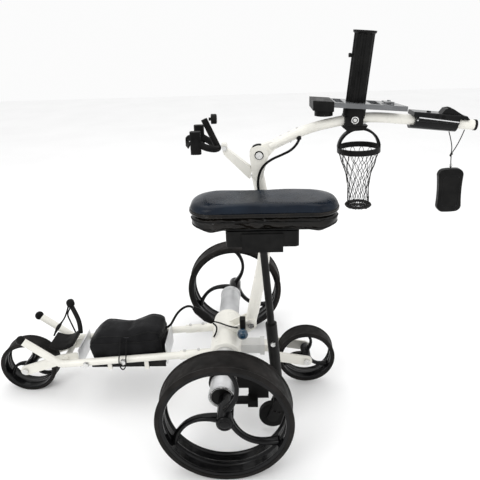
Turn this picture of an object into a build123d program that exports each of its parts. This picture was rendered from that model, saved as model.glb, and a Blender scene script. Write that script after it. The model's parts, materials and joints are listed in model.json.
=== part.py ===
from build123d import *
import math
import os

# Electric golf trolley with a folding mast, a seat, and handle accessories. Millimetres.
# Origin: on the ground, midway between the rear wheels.
# +X runs towards the handle, +Y towards the right-hand wheel, +Z up.

# ---- wheels
track = 600.0
rear_radius = 160.0
rear_width = 65.0
rear_tyre_depth = 11.0
small_radius = 82.0
small_width = 48.0
small_tyre_depth = 8.0
rim_wall = 6.0
rim_inset = 2.0
ridge_height = 3.5
ridge_width = 11.0
spoke_angles = (90, 210, 330)
spoke_width = 10.0
spoke_depth = 18.0
spoke_bow = 0.21
front_axle_x = -604.0
antitip_x = 217.0
antitip_z = 104.0

# ---- fits
running = 0.05
seat_fit = 0.2
gap = 0.5

# ---- axle housing, motor tubes and drive
motor_x = -12.0
housing_radius = 43.0
housing_half = 85.0
tube_radius = 31.0
tube_wall = 2.5
tube_inner_end = 40.0
wheel_inset = 60.0
tube_outer_end = track / 2 - wheel_inset
collar_radius = 33.0
collar_width = 12.0
motor_radius = 26.0
motor_inner_end = 60.0
gear_head_length = 39.0
nose_radius = 14.0
nose_length = 4.0
drive_radius = 8.0
drive_depth = 44.0
drive_inner_end = tube_outer_end - drive_depth
hub_radius = 20.0
hub_clearance = 6.0
hub_start = tube_outer_end + hub_clearance
hub_reach = 16.0
hub_end = track / 2 + hub_reach
hub_cap = 3.0

# ---- lower frame
rail_y = 62.0
rail_radius = 10.0
rail_wall = 1.8
rail_rear_x = -72.0
rail_bend_x = -484.0
rail_bend_z = 123.0
rail_rise = 0.075
arm_end_x = -579.0
arm_end_z = 199.0
ball_radius = 12.5
sleeve_radius = rail_radius + 2.5
sleeve_front_x = -140.0
sleeve_rear_x = -47.0
side_bolt_xs = (-407.0, -300.0)
sleeve_bolt_xs = (-127.0, -88.0)
bolt_radius = 3.0
bolt_across = 14.0
bolt_thick = 4.5
washer_radius = 9.0
washer_thick = 1.2
screw_radius = 2.0
plate_half = rail_y - rail_radius - gap
fork_clearance = 9.0
fork_in = small_width / 2 + fork_clearance
fork_thick = 5.0
fork_end_radius = 15.0
axle_radius = 6.0
cross_tube_x = -478.0
cross_tube_radius = 8.0
front_plate_x = -434.0
front_plate_top = 160.0
rear_plate_x = -182.0
rear_plate_top = 177.0
plate_thick = 3.0
tray_front_x = -400.0
tray_rear_x = -186.0
tray_z = 112.0
tray_lip = 1.5
tab_xs = (-346.0, -240.0)
tab_thick = 3.0
tab_foot_z = 100.0

# ---- battery and its bag
bag_front_x = -406.0
bag_rear_x = -187.0
bag_half = plate_half - tray_lip
bag_top_z = 221.0
bag_crown = 34.0
bag_wall = 3.0
battery_gap = 2.0
battery_hollow_xs = (-378.0, -196.0)
battery_hollow_top = 197.0

# ---- mast, hinges and handle
mast_pivot = (60.0, 217.0)
mast_radius = 16.5
mast_wall = 2.0
mast_route = ((66.0, 245.0), (108.0, 452.0), (98.0, 600.0), (88.0, 655.0))
ear_thick = 5.0
ear_radius = 16.0
hinge = (93.0, 708.0)
hinge_disc_radius = 24.0
hinge_ear_thick = 5.0
hinge_eye_half = 9.5
hinge_pin_radius = 6.0
handle_radius = 12.5
handle_wall = 2.0
handle_route = ((121.0, 727.0), (215.0, 771.0), (350.0, 797.5), (622.0, 768.0))

# ---- seat
seat_y = -125.0
seat_half = 70.0
seat_front_x = -76.0
seat_rear_x = 278.0
seat_corner = 60.0
cushion_top = 635.0
cushion_bottom = 605.0
pocket_bottom = 575.0
leg_y = -178.0
leg_bottom = (129.8, 104.0)
leg_top = (99.0, 509.0)
post_radius = 9.0
post_rise = 52.0
socket_radius = 14.0
socket_top_z = 327.0
castor_radius = 36.0
castor_width = 22.0
castor_x = 114.0
castor_z = 51.0

# ---- handle accessories
umbrella_foot = (329.0, 811.0)
umbrella_lean = 5.3
umbrella_length = 187.0
umbrella_radius = 22.5
umbrella_bore = 19.0
rib_count = 16
rib_radius = 1.5
flange_radius = umbrella_radius + 5.0
collar_wall = 3.0
collar_rise = 9.6
screw_height = 132.0
console_front_x = 223.0
console_rear_x = 447.0
console_far_x = 426.0
console_half = 40.0
console_front_z = 842.0
console_rear_z = 823.5
console_thick = 12.0
housing_rear_x = 273.0
housing_depth = 22.0
tongue = 12.0
drum_x = 254.0
drum_radius = 22.5
drum_bottom = 801.5
recess_xs = ((278.0, 298.0), (362.0, 386.0))
recess_depth = 6.0
recess_edge = 6.0
basket_top = (343.5, 722.0)
basket_lean = 2.0
ring_radius = 53.5
ring_height = 14.0
ring_wall = 3.0
arch_rise = 44.5
net_length = 145.0
net_waist = 0.45
net_waist_radius = 29.0
net_foot_radius = 26.0
net_disc_radius = 35.0
box_start_x = 466.0
box_length = 113.0
box_notch = 8.0
box_half = 24.0
box_top = 23.0
box_bottom = 20.5
dial_radius = 11.5
dial_width = 12.0
remote_width = 66.0
remote_height = 116.0
remote_half = 11.0
remote_tilt = 0.035
remote_centre = (581.0, 600.0)
lanyard_radius = 1.2


def rod(start, end, radius, mode=Mode.ADD):
    """A round bar between two points."""
    run = Vector(*end) - Vector(*start)
    with BuildSketch(Plane(origin=start, z_dir=run)) as section:
        Circle(radius)
    extrude(section.sketch, amount=run.length, mode=mode)


def block(xs, ys, zs, mode=Mode.ADD):
    """A box between pairs of coordinates."""
    with BuildSketch(Plane.XY.offset(sum(zs) / 2)) as section:
        with Locations((sum(xs) / 2, sum(ys) / 2)):
            Rectangle(abs(xs[1] - xs[0]), abs(ys[1] - ys[0]))
    extrude(section.sketch, amount=abs(zs[1] - zs[0]) / 2, both=True, mode=mode)


def side_plate(points, ys, mode=Mode.ADD):
    """A flat plate whose outline lies in the XZ plane, between two values of Y."""
    with BuildSketch(Plane.XZ.offset(-sum(ys) / 2)) as section:
        Polygon(*points, align=None)
    extrude(section.sketch, amount=abs(ys[1] - ys[0]) / 2, both=True, mode=mode)


def link_plate(start, end, start_radius, end_radius, ys):
    """A flat link with rounded ends, between two values of Y."""
    with BuildSketch(Plane.XZ.offset(-sum(ys) / 2)) as section:
        with Locations(start):
            Circle(start_radius)
        with Locations(end):
            Circle(end_radius)
        make_hull()
    extrude(section.sketch, amount=abs(ys[1] - ys[0]) / 2, both=True)


def bend_radii(points):
    """The largest arc that each corner's two runs have room for."""
    radii = []
    for before, corner, after in zip(points, points[1:], points[2:]):
        arriving = Vector(*corner) - Vector(*before)
        leaving = Vector(*after) - Vector(*corner)
        half_turn = math.radians(arriving.get_angle(leaving)) / 2
        radii.append(0.45 * min(arriving.length, leaving.length) / math.tan(half_turn))
    return radii


def bent_tube(points, outer, inner=0.0, name=None, mode=Mode.ADD):
    """A tube along straight runs joined by tangent arcs."""
    radii = bend_radii(points)
    with BuildLine() as route:
        FilletPolyline(*points, radius=radii)
    start = Vector(*points[0])
    with BuildSketch(Plane(origin=start, z_dir=Vector(*points[1]) - start)) as section:
        Circle(outer)
        if inner:
            Circle(inner, mode=Mode.SUBTRACT)
    made = sweep(section.sketch, path=route.line, mode=mode)
    if name:
        length = sum(edge.length for edge in route.line.edges())
        ratio = made.volume / (section.sketch.area * length)
        arcs = [round(radius) for radius in radii]
        print(name, "length", round(length), "arcs", arcs, "volume ratio", round(ratio, 4))


def in_plane(points, y=0.0):
    """XZ pairs as 3-D points at one value of Y."""
    return [(x, y, z) for x, z in points]


def turned_band(centre, inner, outer, width):
    """A band turned about a wheel's axle line."""
    x, y, z = centre
    with BuildSketch(Plane.XY.offset(z)) as section:
        with Locations((x + (inner + outer) / 2, y)):
            Rectangle(outer - inner, width)
    revolve(section.sketch, axis=Axis((x, y, z), (0, 1, 0)))


def tyre_band(centre, radius, width, depth):
    """A tyre with rounded shoulders."""
    x, y, z = centre
    with BuildSketch(Plane.XY.offset(z)) as section:
        with Locations((x + radius - depth / 2, y)):
            Rectangle(depth, width)
        fillet(section.vertices().group_by(Axis.X)[-1], radius=min(depth / 2, width / 4))
    revolve(section.sketch, axis=Axis((x, y, z), (0, 1, 0)))


def spoked_rim(centre, outer, width, hub, hub_ys, bore, bore_ys):
    """A barrel with a middle ridge, a hub, and spokes that bow on their way out."""
    x, y, z = centre
    inner = outer - rim_wall
    turned_band(centre, inner, outer, width - 2 * rim_inset)
    turned_band(centre, inner - ridge_height, inner + 1, ridge_width)
    rod((x, hub_ys[0], z), (x, hub_ys[1], z), hub)
    reach = inner + rim_wall / 4
    with BuildSketch(Plane.XZ.offset(-y)) as spokes:
        for angle in spoke_angles:
            out = Vector(math.cos(math.radians(angle)), math.sin(math.radians(angle)))
            side = Vector(out.Y, -out.X)
            start = Vector(x, z) + out * (hub / 2)
            middle = Vector(x, z) + out * (reach / 2) + side * (reach * spoke_bow)
            with BuildLine() as bow:
                ThreePointArc(start, middle, Vector(x, z) + out * reach)
            trace(bow.line, line_width=spoke_width)
    extrude(spokes.sketch, amount=spoke_depth / 2, both=True)
    rod((x, bore_ys[0], z), (x, bore_ys[1], z), bore, mode=Mode.SUBTRACT)


def rail_z(x):
    """The height of a rail's centre line."""
    return rail_bend_z + rail_rise * (x - rail_bend_x)


def hex_head(centre, direction, across, thick):
    """A hexagon bolt head."""
    with BuildSketch(Plane(origin=centre, z_dir=direction)) as section:
        RegularPolygon(across / 2, 6, major_radius=False)
    extrude(section.sketch, amount=thick)


# ---- rear wheels and their drive, one set for each side
sides = {"left": -1, "right": 1}
pieces = {}
for name, side in sides.items():
    centre = (0, side * track / 2, rear_radius)
    rim_outer = rear_radius - rear_tyre_depth
    with BuildPart() as tyre:
        tyre_band(centre, rear_radius, rear_width, rear_tyre_depth)
    pieces["tyre_" + name] = tyre
    with BuildPart() as rim:
        hub_ys = (side * hub_start, side * hub_end)
        bore_ys = (side * (hub_start - 1), side * (hub_end - hub_cap))
        spoked_rim(centre, rim_outer, rear_width, hub_radius, hub_ys, drive_radius + running, bore_ys)
    pieces["rim_" + name] = rim
    with BuildPart() as drive_axle:
        axle_end = side * (hub_end - hub_cap - gap)
        rod((0, side * drive_inner_end, rear_radius), (0, axle_end, rear_radius), drive_radius)
    pieces["drive_axle_" + name] = drive_axle

# ---- front, anti-tip and castor wheels
fork_out = fork_in + fork_thick
small_hub = 14.0
small_hub_half = fork_in - 3.0
for name, x, z in (("front", front_axle_x, small_radius), ("antitip", antitip_x, antitip_z)):
    with BuildPart() as tyre:
        tyre_band((x, 0, z), small_radius, small_width, small_tyre_depth)
    pieces[name + "_tyre"] = tyre
    with BuildPart() as rim:
        rim_outer = small_radius - small_tyre_depth
        hub_ys = (-small_hub_half, small_hub_half)
        bore_ys = (-fork_in, fork_in)
        spoked_rim((x, 0, z), rim_outer, small_width, small_hub, hub_ys, axle_radius + running, bore_ys)
    pieces[name + "_rim"] = rim

castor = (castor_x, leg_y, castor_z)
castor_pin_radius = 4.0
castor_hub_half = castor_width / 2 + 1
with BuildPart() as castor_wheel:
    tyre_band(castor, castor_radius, castor_width, castor_radius - castor_pin_radius - running)
    rod((castor_x, leg_y - castor_hub_half, castor_z), (castor_x, leg_y + castor_hub_half, castor_z), 10)
    bore_half = castor_hub_half + 1
    bore_start = (castor_x, leg_y - bore_half, castor_z)
    bore_end = (castor_x, leg_y + bore_half, castor_z)
    rod(bore_start, bore_end, castor_pin_radius + running, mode=Mode.SUBTRACT)

# ---- axle housing: a ring casting with rail sockets, mast ears and the latch foot
axle_z = rear_radius
ear_in = mast_radius + 1.0
ear_out = ear_in + ear_thick
with BuildPart() as axle_housing:
    turned_band((motor_x, 0, axle_z), tube_radius + seat_fit, housing_radius, 2 * housing_half)
    rims = axle_housing.edges().filter_by(GeomType.CIRCLE).group_by(SortBy.RADIUS)[-1]
    fillet(rims, radius=4)
    for side in sides.values():
        y = side * rail_y
        sleeve_start = (sleeve_front_x, y, rail_z(sleeve_front_x))
        rod(sleeve_start, (sleeve_rear_x, y, rail_z(sleeve_rear_x)), sleeve_radius)
        inside = (rail_rear_x + gap, y, rail_z(rail_rear_x + gap))
        outside = (sleeve_front_x - 1, y, rail_z(sleeve_front_x - 1))
        rod(outside, inside, rail_radius + seat_fit, mode=Mode.SUBTRACT)
        ys = (side * ear_in, side * ear_out)
        link_plate((motor_x + 14, axle_z + 24), mast_pivot, 20, ear_radius, ys)
        for x in sleeve_bolt_xs:
            top = rail_z(x) + sleeve_radius + 1
            rod((x, y, rail_z(x)), (x, y, top), screw_radius + 0.1, mode=Mode.SUBTRACT)
    bore = tube_radius + seat_fit
    rod((motor_x, -housing_half, axle_z), (motor_x, housing_half, axle_z), bore, mode=Mode.SUBTRACT)
    pin_hole = hinge_pin_radius + seat_fit
    pin_start = (mast_pivot[0], -ear_out - 1, mast_pivot[1])
    pin_end = (mast_pivot[0], ear_out + 1, mast_pivot[1])
    rod(pin_start, pin_end, pin_hole, mode=Mode.SUBTRACT)

with BuildPart() as motor_tubes:
    for side in sides.values():
        middle = side * (tube_inner_end + tube_outer_end) / 2
        length = tube_outer_end - tube_inner_end
        turned_band((motor_x, middle, axle_z), tube_radius - tube_wall, tube_radius, length)
        collar_y = side * (tube_outer_end - collar_width / 2)
        turned_band((motor_x, collar_y, axle_z), tube_radius - tube_wall, collar_radius, collar_width)

with BuildPart() as gear_motors:
    head_radius = tube_radius - tube_wall - seat_fit
    for side in sides.values():
        face_y = side * (tube_outer_end - 1)
        head_y = face_y - side * gear_head_length
        nose_y = face_y + side * nose_length
        rod((motor_x, side * motor_inner_end, axle_z), (motor_x, head_y, axle_z), motor_radius)
        rod((motor_x, head_y, axle_z), (motor_x, face_y, axle_z), head_radius)
        rod((0, face_y, axle_z), (0, nose_y, axle_z), nose_radius)
        bore_start = (0, side * (drive_inner_end - 1), axle_z)
        bore_end = (0, side * (tube_outer_end + 2 * nose_length), axle_z)
        rod(bore_start, bore_end, drive_radius + running, mode=Mode.SUBTRACT)

# ---- lower frame
with BuildPart() as frame_rails:
    for side in sides.values():
        y = side * rail_y
        route = ((rail_rear_x, rail_z(rail_rear_x)), (rail_bend_x, rail_bend_z), (arm_end_x, arm_end_z))
        radii = [30.0]
        points = in_plane(route, y)
        with BuildLine() as line:
            FilletPolyline(*points, radius=radii)
        start = Vector(*points[0])
        with BuildSketch(Plane(origin=start, z_dir=Vector(*points[1]) - start)):
            Circle(rail_radius)
            Circle(rail_radius - rail_wall, mode=Mode.SUBTRACT)
        sweep(path=line.line)
        for x in side_bolt_xs:
            inner_y = y - side * 2 * rail_radius
            outer_y = y + side * 2 * rail_radius
            rod((x, inner_y, rail_z(x)), (x, outer_y, rail_z(x)), bolt_radius + 0.1, mode=Mode.SUBTRACT)
        tab_out = side * (plate_half + 7)
        for x in tab_xs:
            xs = (x - 6, x + 6)
            foot_zs = (tab_foot_z, tab_foot_z + tab_thick)
            block(xs, (side * (plate_half - 1), tab_out), foot_zs)
            block(xs, (tab_out - side * tab_thick, tab_out), (tab_foot_z, rail_z(x) - rail_radius + 2))

with BuildPart() as arm_end_caps:
    for side in sides.values():
        y = side * rail_y
        run = (Vector(arm_end_x, 0, arm_end_z) - Vector(rail_bend_x, 0, rail_bend_z)).normalized()
        tip = Vector(arm_end_x, y, arm_end_z)
        with Locations(Plane(origin=tip + run * (ball_radius * 0.7), z_dir=run)):
            Sphere(ball_radius)
        rod(tuple(tip - run * 30), tuple(tip + run * gap), rail_radius + seat_fit, mode=Mode.SUBTRACT)

with BuildPart() as front_fork:
    elbow = (cross_tube_x - 12, rail_z(cross_tube_x) - 4)
    for side in sides.values():
        ys = (side * fork_in, side * fork_out)
        link_plate((front_axle_x, small_radius), elbow, fork_end_radius, fork_end_radius, ys)
        link_plate(elbow, (front_plate_x - 18, rail_z(front_plate_x)), fork_end_radius, 14, ys)
    cross_z = rail_z(cross_tube_x)
    cross_end = plate_half - gap
    rod((cross_tube_x, -cross_end, cross_z), (cross_tube_x, cross_end, cross_z), cross_tube_radius)
    hole_start = (front_axle_x, -fork_out - 1, small_radius)
    hole_end = (front_axle_x, fork_out + 1, small_radius)
    rod(hole_start, hole_end, axle_radius + 0.1, mode=Mode.SUBTRACT)

with BuildPart() as axle_bolts:
    for x, z in ((front_axle_x, small_radius), (antitip_x, antitip_z)):
        end = fork_out + 6
        rod((x, -end, z), (x, end, z), axle_radius)
        for side in sides.values():
            hex_head((x, side * (fork_out + gap), z), (0, side, 0), 17, 6)
    pin_end = ear_out + 4
    x, z = mast_pivot
    rod((x, -pin_end, z), (x, pin_end, z), hinge_pin_radius)
    for side in sides.values():
        hex_head((x, side * (ear_out + 0.3), z), (0, side, 0), 16, 5)

with BuildPart() as cross_plates:
    half = plate_thick / 2
    block((front_plate_x - half, front_plate_x + half), (-plate_half, plate_half), (104, front_plate_top))
    block((rear_plate_x - half, rear_plate_x + half), (-plate_half, plate_half), (112, rear_plate_top))

with BuildPart() as battery_tray:
    block((tray_front_x, tray_rear_x), (-plate_half, plate_half), (tray_z, tray_z + plate_thick))
    for side in sides.values():
        ys = (side * (plate_half - tray_lip), side * plate_half)
        block((tray_front_x, tray_rear_x), ys, (tab_foot_z + tab_thick, tray_z + 12))

# ---- front bag cradle
cradle_low = (-498.0, 151.0)
with BuildPart() as cradle_pad:
    with BuildSketch(Plane.XZ) as saddle:
        with BuildLine() as dip:
            ThreePointArc((-526, 172), cradle_low, (-452, 170))
        trace(dip.line, line_width=8)
    extrude(saddle.sketch, amount=34, both=True)
    fillet(cradle_pad.edges().filter_by(Axis.Y), radius=2)

strap_peak = (-455.0, 284.0)
cord_y = rail_y + rail_radius + 9
with BuildPart() as elastic_cords:
    points = in_plane(((-440, 186), (-439, 214), (-444, 240), (-451, 262), (-456, 272)))
    bent_tube(points, 4.0, name="cradle strap, rear side")
    points = ((-462, -6, 270), (-473, -6, 246), (-490, -6, 223), (-507, -6, 202), (-516, -6, 186))
    bent_tube(points, 3.0, name="cradle strap, front side")
    with Locations((strap_peak[0], 0, strap_peak[1])):
        Sphere(11)
    points = (
        (-308, -bag_half - 3, 196),
        (-308, -bag_half - 14, 172),
        (-310, -cord_y, 152),
        (-309, -cord_y - 3, 130),
        (-300, -cord_y - 4, 117),
        (-291, -cord_y - 3, 130),
        (-290, -cord_y, 152),
        (-291, -bag_half - 14, 172),
        (-291, -bag_half - 3, 192),
    )
    bent_tube(points, 1.8, name="battery cord")

# ---- battery, bag and wiring
bag_bottom_z = tray_z + plate_thick + gap
with BuildPart() as battery_bag:
    outline = (
        (bag_front_x + 10, bag_bottom_z),
        (bag_rear_x, bag_bottom_z),
        (bag_rear_x, 172),
        (bag_rear_x - 6, bag_top_z - 9),
        (bag_rear_x - 35, bag_top_z),
        (bag_front_x + 115, bag_top_z - 15),
        (bag_front_x + 26, bag_top_z - 16),
        (bag_front_x, 168),
    )
    side_plate(outline, (-bag_half, bag_half))
    low_corners = battery_bag.edges().filter_by(Axis.Y).group_by(Axis.Z)[0]
    fillet(low_corners, radius=8)
    with BuildSketch(Plane.YZ) as crown:
        with Locations((0, (bag_bottom_z + bag_top_z) / 2)):
            Rectangle(2 * bag_half, bag_top_z - bag_bottom_z)
        fillet(crown.vertices().group_by(Axis.Y)[-1], radius=bag_crown)
    extrude(crown.sketch, amount=-bag_front_x + 1, both=True, mode=Mode.INTERSECT)
    low = bag_bottom_z + bag_wall
    inner = bag_half - 2 * bag_wall
    block(battery_hollow_xs, (-inner, inner), (low, battery_hollow_top), mode=Mode.SUBTRACT)

with BuildPart() as battery:
    xs = (battery_hollow_xs[0] + battery_gap, battery_hollow_xs[1] - battery_gap)
    half = inner - battery_gap
    block(xs, (-half, half), (low + gap, battery_hollow_top - battery_gap))
    fillet(battery.edges().filter_by(Axis.Z), radius=4)

cable_radius = 3.0
boot_start = (-104.0, 262.0)
boot_end = (-52.0, 214.0)
with BuildPart() as connector_boot:
    start = Vector(boot_start[0], 0, boot_start[1])
    run = Vector(boot_end[0], 0, boot_end[1]) - start
    stations = ((0.0, 5.0), (0.2, 10.0), (0.7, 12.0), (1.0, 6.5))
    for share, radius in stations:
        with BuildSketch(Plane(origin=start + run * share, z_dir=run)):
            Circle(radius)
    loft(ruled=True)

with BuildPart() as battery_leads:
    points = in_plane(
        (
            (bag_rear_x - 1.3, 196),
            (-174, 204),
            (-164, 223),
            (-150, 247),
            (-131, 264),
            (-113, 269),
            (boot_start[0] - 1.3, boot_start[1] + 1.1),
        )
    )
    bent_tube(points, cable_radius, name="battery cable")
    near = (
        (boot_end[0] + 2.2, -4, boot_end[1] - 2),
        (-41, -12, 211),
        (-37, -24, 208),
        (-39, -36, 201),
        (-46, -42, 192),
    )
    bent_tube(near, 2.0, name="near motor lead")
    far = ((boot_end[0] + 2.2, 4, boot_end[1] - 1.5), (-34, 2, 211), (-14, -8, 208), (6, -22, 211), (22, -29, 213))
    bent_tube(far, 2.0, name="latch lead")

# ---- mast latch beside the near ear
latch_x = 37.0
latch_z = 214.0
latch_half = 8.0
knob_radius = 15.0
knob_length = 28.0
latch_ys = (-46.0, -ear_out - 4.0)
with BuildPart() as latch_column:
    block((latch_x - latch_half, latch_x + latch_half), latch_ys, (196, 249))
    fillet(latch_column.edges().filter_by(Axis.Z), radius=4)
    screw_start = (latch_x, latch_ys[0] - 1, latch_z)
    screw_end = (latch_x, latch_ys[0] + 10, latch_z)
    rod(screw_start, screw_end, 3 + running, mode=Mode.SUBTRACT)
with BuildPart() as lock_knob:
    knob_in = latch_ys[0] - gap
    rod((latch_x, knob_in, latch_z), (latch_x, knob_in - knob_length, latch_z), knob_radius)
    fillet(lock_knob.edges().filter_by(GeomType.CIRCLE), radius=knob_radius - 2)
    rod((latch_x, latch_ys[0] - 2, latch_z), (latch_x, latch_ys[0] + 9, latch_z), 3)

# ---- anti-tip receiver and arm
receiver_half_y = 18.0
receiver_zs = (118.0, 146.0)
receiver_wall = 3.0
with BuildPart() as antitip_receiver:
    block((24, 96), (-receiver_half_y, receiver_half_y), receiver_zs)
    block((84, 97), (-receiver_half_y - 3, receiver_half_y + 3), (receiver_zs[0] - 3, receiver_zs[1] + 3))
    cavity_ys = (-receiver_half_y + receiver_wall, receiver_half_y - receiver_wall)
    cavity_zs = (receiver_zs[0] + receiver_wall, receiver_zs[1] - receiver_wall)
    block((45, 98), cavity_ys, cavity_zs, mode=Mode.SUBTRACT)
    shell = housing_radius + 0.3
    rod((motor_x, -30, axle_z), (motor_x, 30, axle_z), shell, mode=Mode.SUBTRACT)

with BuildPart() as antitip_arm:
    f = seat_fit
    block((47, 122), (cavity_ys[0] + f, cavity_ys[1] - f), (cavity_zs[0] + f, cavity_zs[1] - f))
    block((118, 126), (-fork_out, fork_out), (98, 144))
    for side in sides.values():
        ys = (side * fork_in, side * fork_out)
        link_plate((134, 119), (antitip_x, antitip_z), fork_end_radius, fork_end_radius, ys)
    hole_start = (antitip_x, -fork_out - 1, antitip_z)
    hole_end = (antitip_x, fork_out + 1, antitip_z)
    rod(hole_start, hole_end, axle_radius + 0.1, mode=Mode.SUBTRACT)

# ---- seat: clamp on the near motor tube, telescoping leg, castor, box, pocket and cushion
leg_low = Vector(leg_bottom[0], leg_y, leg_bottom[1])
leg_high = Vector(leg_top[0], leg_y, leg_top[1])
leg_run = (leg_high - leg_low).normalized()
socket_top = leg_low + leg_run * ((socket_top_z - leg_bottom[1]) / leg_run.Z)
with BuildPart() as seat_socket:
    rod(tuple(leg_low), tuple(socket_top), socket_radius)
    bore_low = leg_low + leg_run * 20
    rod(tuple(bore_low), tuple(socket_top + leg_run), post_radius + running, mode=Mode.SUBTRACT)
    bolt_at = leg_low + leg_run * ((278 - leg_bottom[1]) / leg_run.Z)
    hole = (bolt_at.X, leg_y - socket_radius - 1, bolt_at.Z)
    rod(hole, (bolt_at.X, leg_y, bolt_at.Z), bolt_radius + 0.1, mode=Mode.SUBTRACT)
    for side in sides.values():
        ys = (leg_y + side * (castor_hub_half + 1), leg_y + side * (castor_hub_half + 4))
        link_plate((castor_x, castor_z), (leg_bottom[0] - 2, leg_bottom[1] - 12), 14, 13, ys)
    half = castor_hub_half + 4
    bridge_xs = (leg_bottom[0] - 14, leg_bottom[0] + 11)
    block(bridge_xs, (leg_y - half, leg_y + half), (leg_bottom[1] - 8, leg_bottom[1] + 2))
    rod((castor_x, leg_y - half, castor_z), (castor_x, leg_y + half, castor_z), castor_pin_radius)
    for x, z in ((castor_x + 5, castor_z + 19), (castor_x + 17, castor_z + 15)):
        rod((x, leg_y - half + 1, z), (x, leg_y - half - 3, z), 3.5)

with BuildPart() as frame_bolts:
    for side in sides.values():
        for x in side_bolt_xs:
            z = rail_z(x)
            washer_in = side * (rail_y + rail_radius + 0.3)
            washer_out = washer_in + side * washer_thick
            rod((x, side * (rail_y - rail_radius + 1), z), (x, washer_out, z), bolt_radius)
            rod((x, washer_in, z), (x, washer_out, z), washer_radius)
            hex_head((x, washer_out, z), (0, side, 0), bolt_across, bolt_thick)
        for x in sleeve_bolt_xs:
            top = rail_z(x) + sleeve_radius
            rod((x, side * rail_y, top - 1.8), (x, side * rail_y, top + 0.5), screw_radius)
            rod((x, side * rail_y, top + 0.3), (x, side * rail_y, top + 3.5), 4.0)
    tip_y = leg_y - post_radius - 0.4
    head_y = leg_y - socket_radius - 0.3
    rod((bolt_at.X, tip_y, bolt_at.Z), (bolt_at.X, head_y - 1, bolt_at.Z), bolt_radius)
    hex_head((bolt_at.X, head_y, bolt_at.Z), (0, -1, 0), 11, 5)

with BuildPart() as seat_clamp:
    plate_ys = (leg_y - 3, leg_y + 3)
    bar_ys = (leg_y - 22, leg_y - 3)
    block((22, 104), plate_ys, (136, 178))
    block((52, 104), plate_ys, (104, 140))
    block((52, 76), plate_ys, (92, 106))
    turned_band((motor_x, leg_y, axle_z), tube_radius + seat_fit, tube_radius + 5, 26)
    block((-20, 74), bar_ys, (102, 112))
    block((-20, -4), bar_ys, (108, 130))
    block((50, 76), (leg_y - 22, leg_y + 3), (92, 112))
    rod((motor_x, leg_y - 40, axle_z), (motor_x, leg_y + 40, axle_z), tube_radius + seat_fit, mode=Mode.SUBTRACT)
    rod(tuple(leg_low - leg_run * 5), tuple(socket_top), socket_radius + 0.3, mode=Mode.SUBTRACT)

box_top_z = pocket_bottom - gap
box_bottom_z = 536.0
box_xs = (12.0, 180.0)
with BuildPart() as seat_post:
    post_start = leg_low + leg_run * 70
    rod(tuple(post_start), tuple(leg_high + leg_run * post_rise), post_radius)
with BuildPart() as seat_box:
    half = seat_half - 8
    block(box_xs, (seat_y - half, seat_y + half), (box_bottom_z, box_top_z))
    corners = seat_box.edges().filter_by(Axis.Z)
    fillet(corners, radius=10)
    block((49, 143), (seat_y - half - 4, seat_y - half + 1), (box_bottom_z - 12, box_top_z - 5))
    post_hole_top = leg_high + leg_run * (post_rise + gap)
    rod(tuple(leg_low + leg_run * 300), tuple(post_hole_top), post_radius + 0.1, mode=Mode.SUBTRACT)
with BuildPart() as seat_pocket:
    xs = (seat_front_x + 3, seat_rear_x - 2)
    block(xs, (seat_y - seat_half + 3, seat_y + seat_half - 4), (pocket_bottom, cushion_bottom - gap))
    fillet(seat_pocket.edges().filter_by(Axis.Z), radius=seat_corner - 5)
    fillet(seat_pocket.edges().group_by(Axis.Z)[0], radius=10)
with BuildPart() as seat_cushion:
    xs = (seat_front_x, seat_rear_x)
    block(xs, (seat_y - seat_half, seat_y + seat_half), (cushion_bottom, cushion_top))
    fillet(seat_cushion.edges().filter_by(Axis.Z), radius=seat_corner)
    fillet(seat_cushion.edges().group_by(Axis.Z)[-1], radius=10)

# ---- mast with its eye below and hinge ears above
mast_eye_half = ear_in - 0.5
hinge_ear_in = hinge_eye_half + 0.5
hinge_ear_out = hinge_ear_in + hinge_ear_thick
with BuildPart() as mast_tube:
    bent_tube(in_plane(mast_route), mast_radius, mast_radius - mast_wall)
    mast_start = Vector(mast_route[0][0], 0, mast_route[0][1])
    eye = Vector(mast_pivot[0], 0, mast_pivot[1])
    rod((eye.X, -mast_eye_half, eye.Z), (eye.X, mast_eye_half, eye.Z), ear_radius)
    rod(tuple(eye), tuple(mast_start + (mast_start - eye) * 0.4), mast_radius - mast_wall / 2)
    for side in sides.values():
        ys = (side * hinge_ear_in, side * hinge_ear_out)
        link_plate(mast_route[-1], hinge, 13, hinge_disc_radius, ys)
    neck = Vector(mast_route[-1][0], 0, mast_route[-1][1])
    rod((neck.X, -hinge_ear_out, neck.Z), (neck.X, hinge_ear_out, neck.Z), 14)
    for at in (mast_pivot, hinge):
        pin_start = (at[0], -mast_eye_half - 2, at[1])
        pin_end = (at[0], mast_eye_half + 2, at[1])
        rod(pin_start, pin_end, hinge_pin_radius + running, mode=Mode.SUBTRACT)

arm_half = 11.0
arm_bolt = (6.0, 728.0)
with BuildPart() as hinge_bolt:
    pin_end = hinge_ear_out + 4
    x, z = hinge
    rod((x, -pin_end, z), (x, pin_end, z), hinge_pin_radius)
    for side in sides.values():
        rod((x, side * (hinge_ear_out + 0.3), z), (x, side * (hinge_ear_out + 5), z), 9)
    rod((arm_bolt[0], -arm_half - 0.3, arm_bolt[1]), (arm_bolt[0], -arm_half - 6, arm_bolt[1]), 6)

# ---- bag arm, bracket and strap
with BuildPart() as bag_arm:
    outline = ((68, 644), (4, 711), (-2, 738), (12, 738), (14, 724), (71, 676), (76, 662))
    side_plate(outline, (-arm_half, arm_half))
    fillet(bag_arm.edges().filter_by(Axis.Y), radius=3)
    neck_start = (neck.X, -hinge_ear_out - 1, neck.Z)
    neck_end = (neck.X, hinge_ear_out + 1, neck.Z)
    rod(neck_start, neck_end, mast_radius + 0.4, mode=Mode.SUBTRACT)

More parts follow.
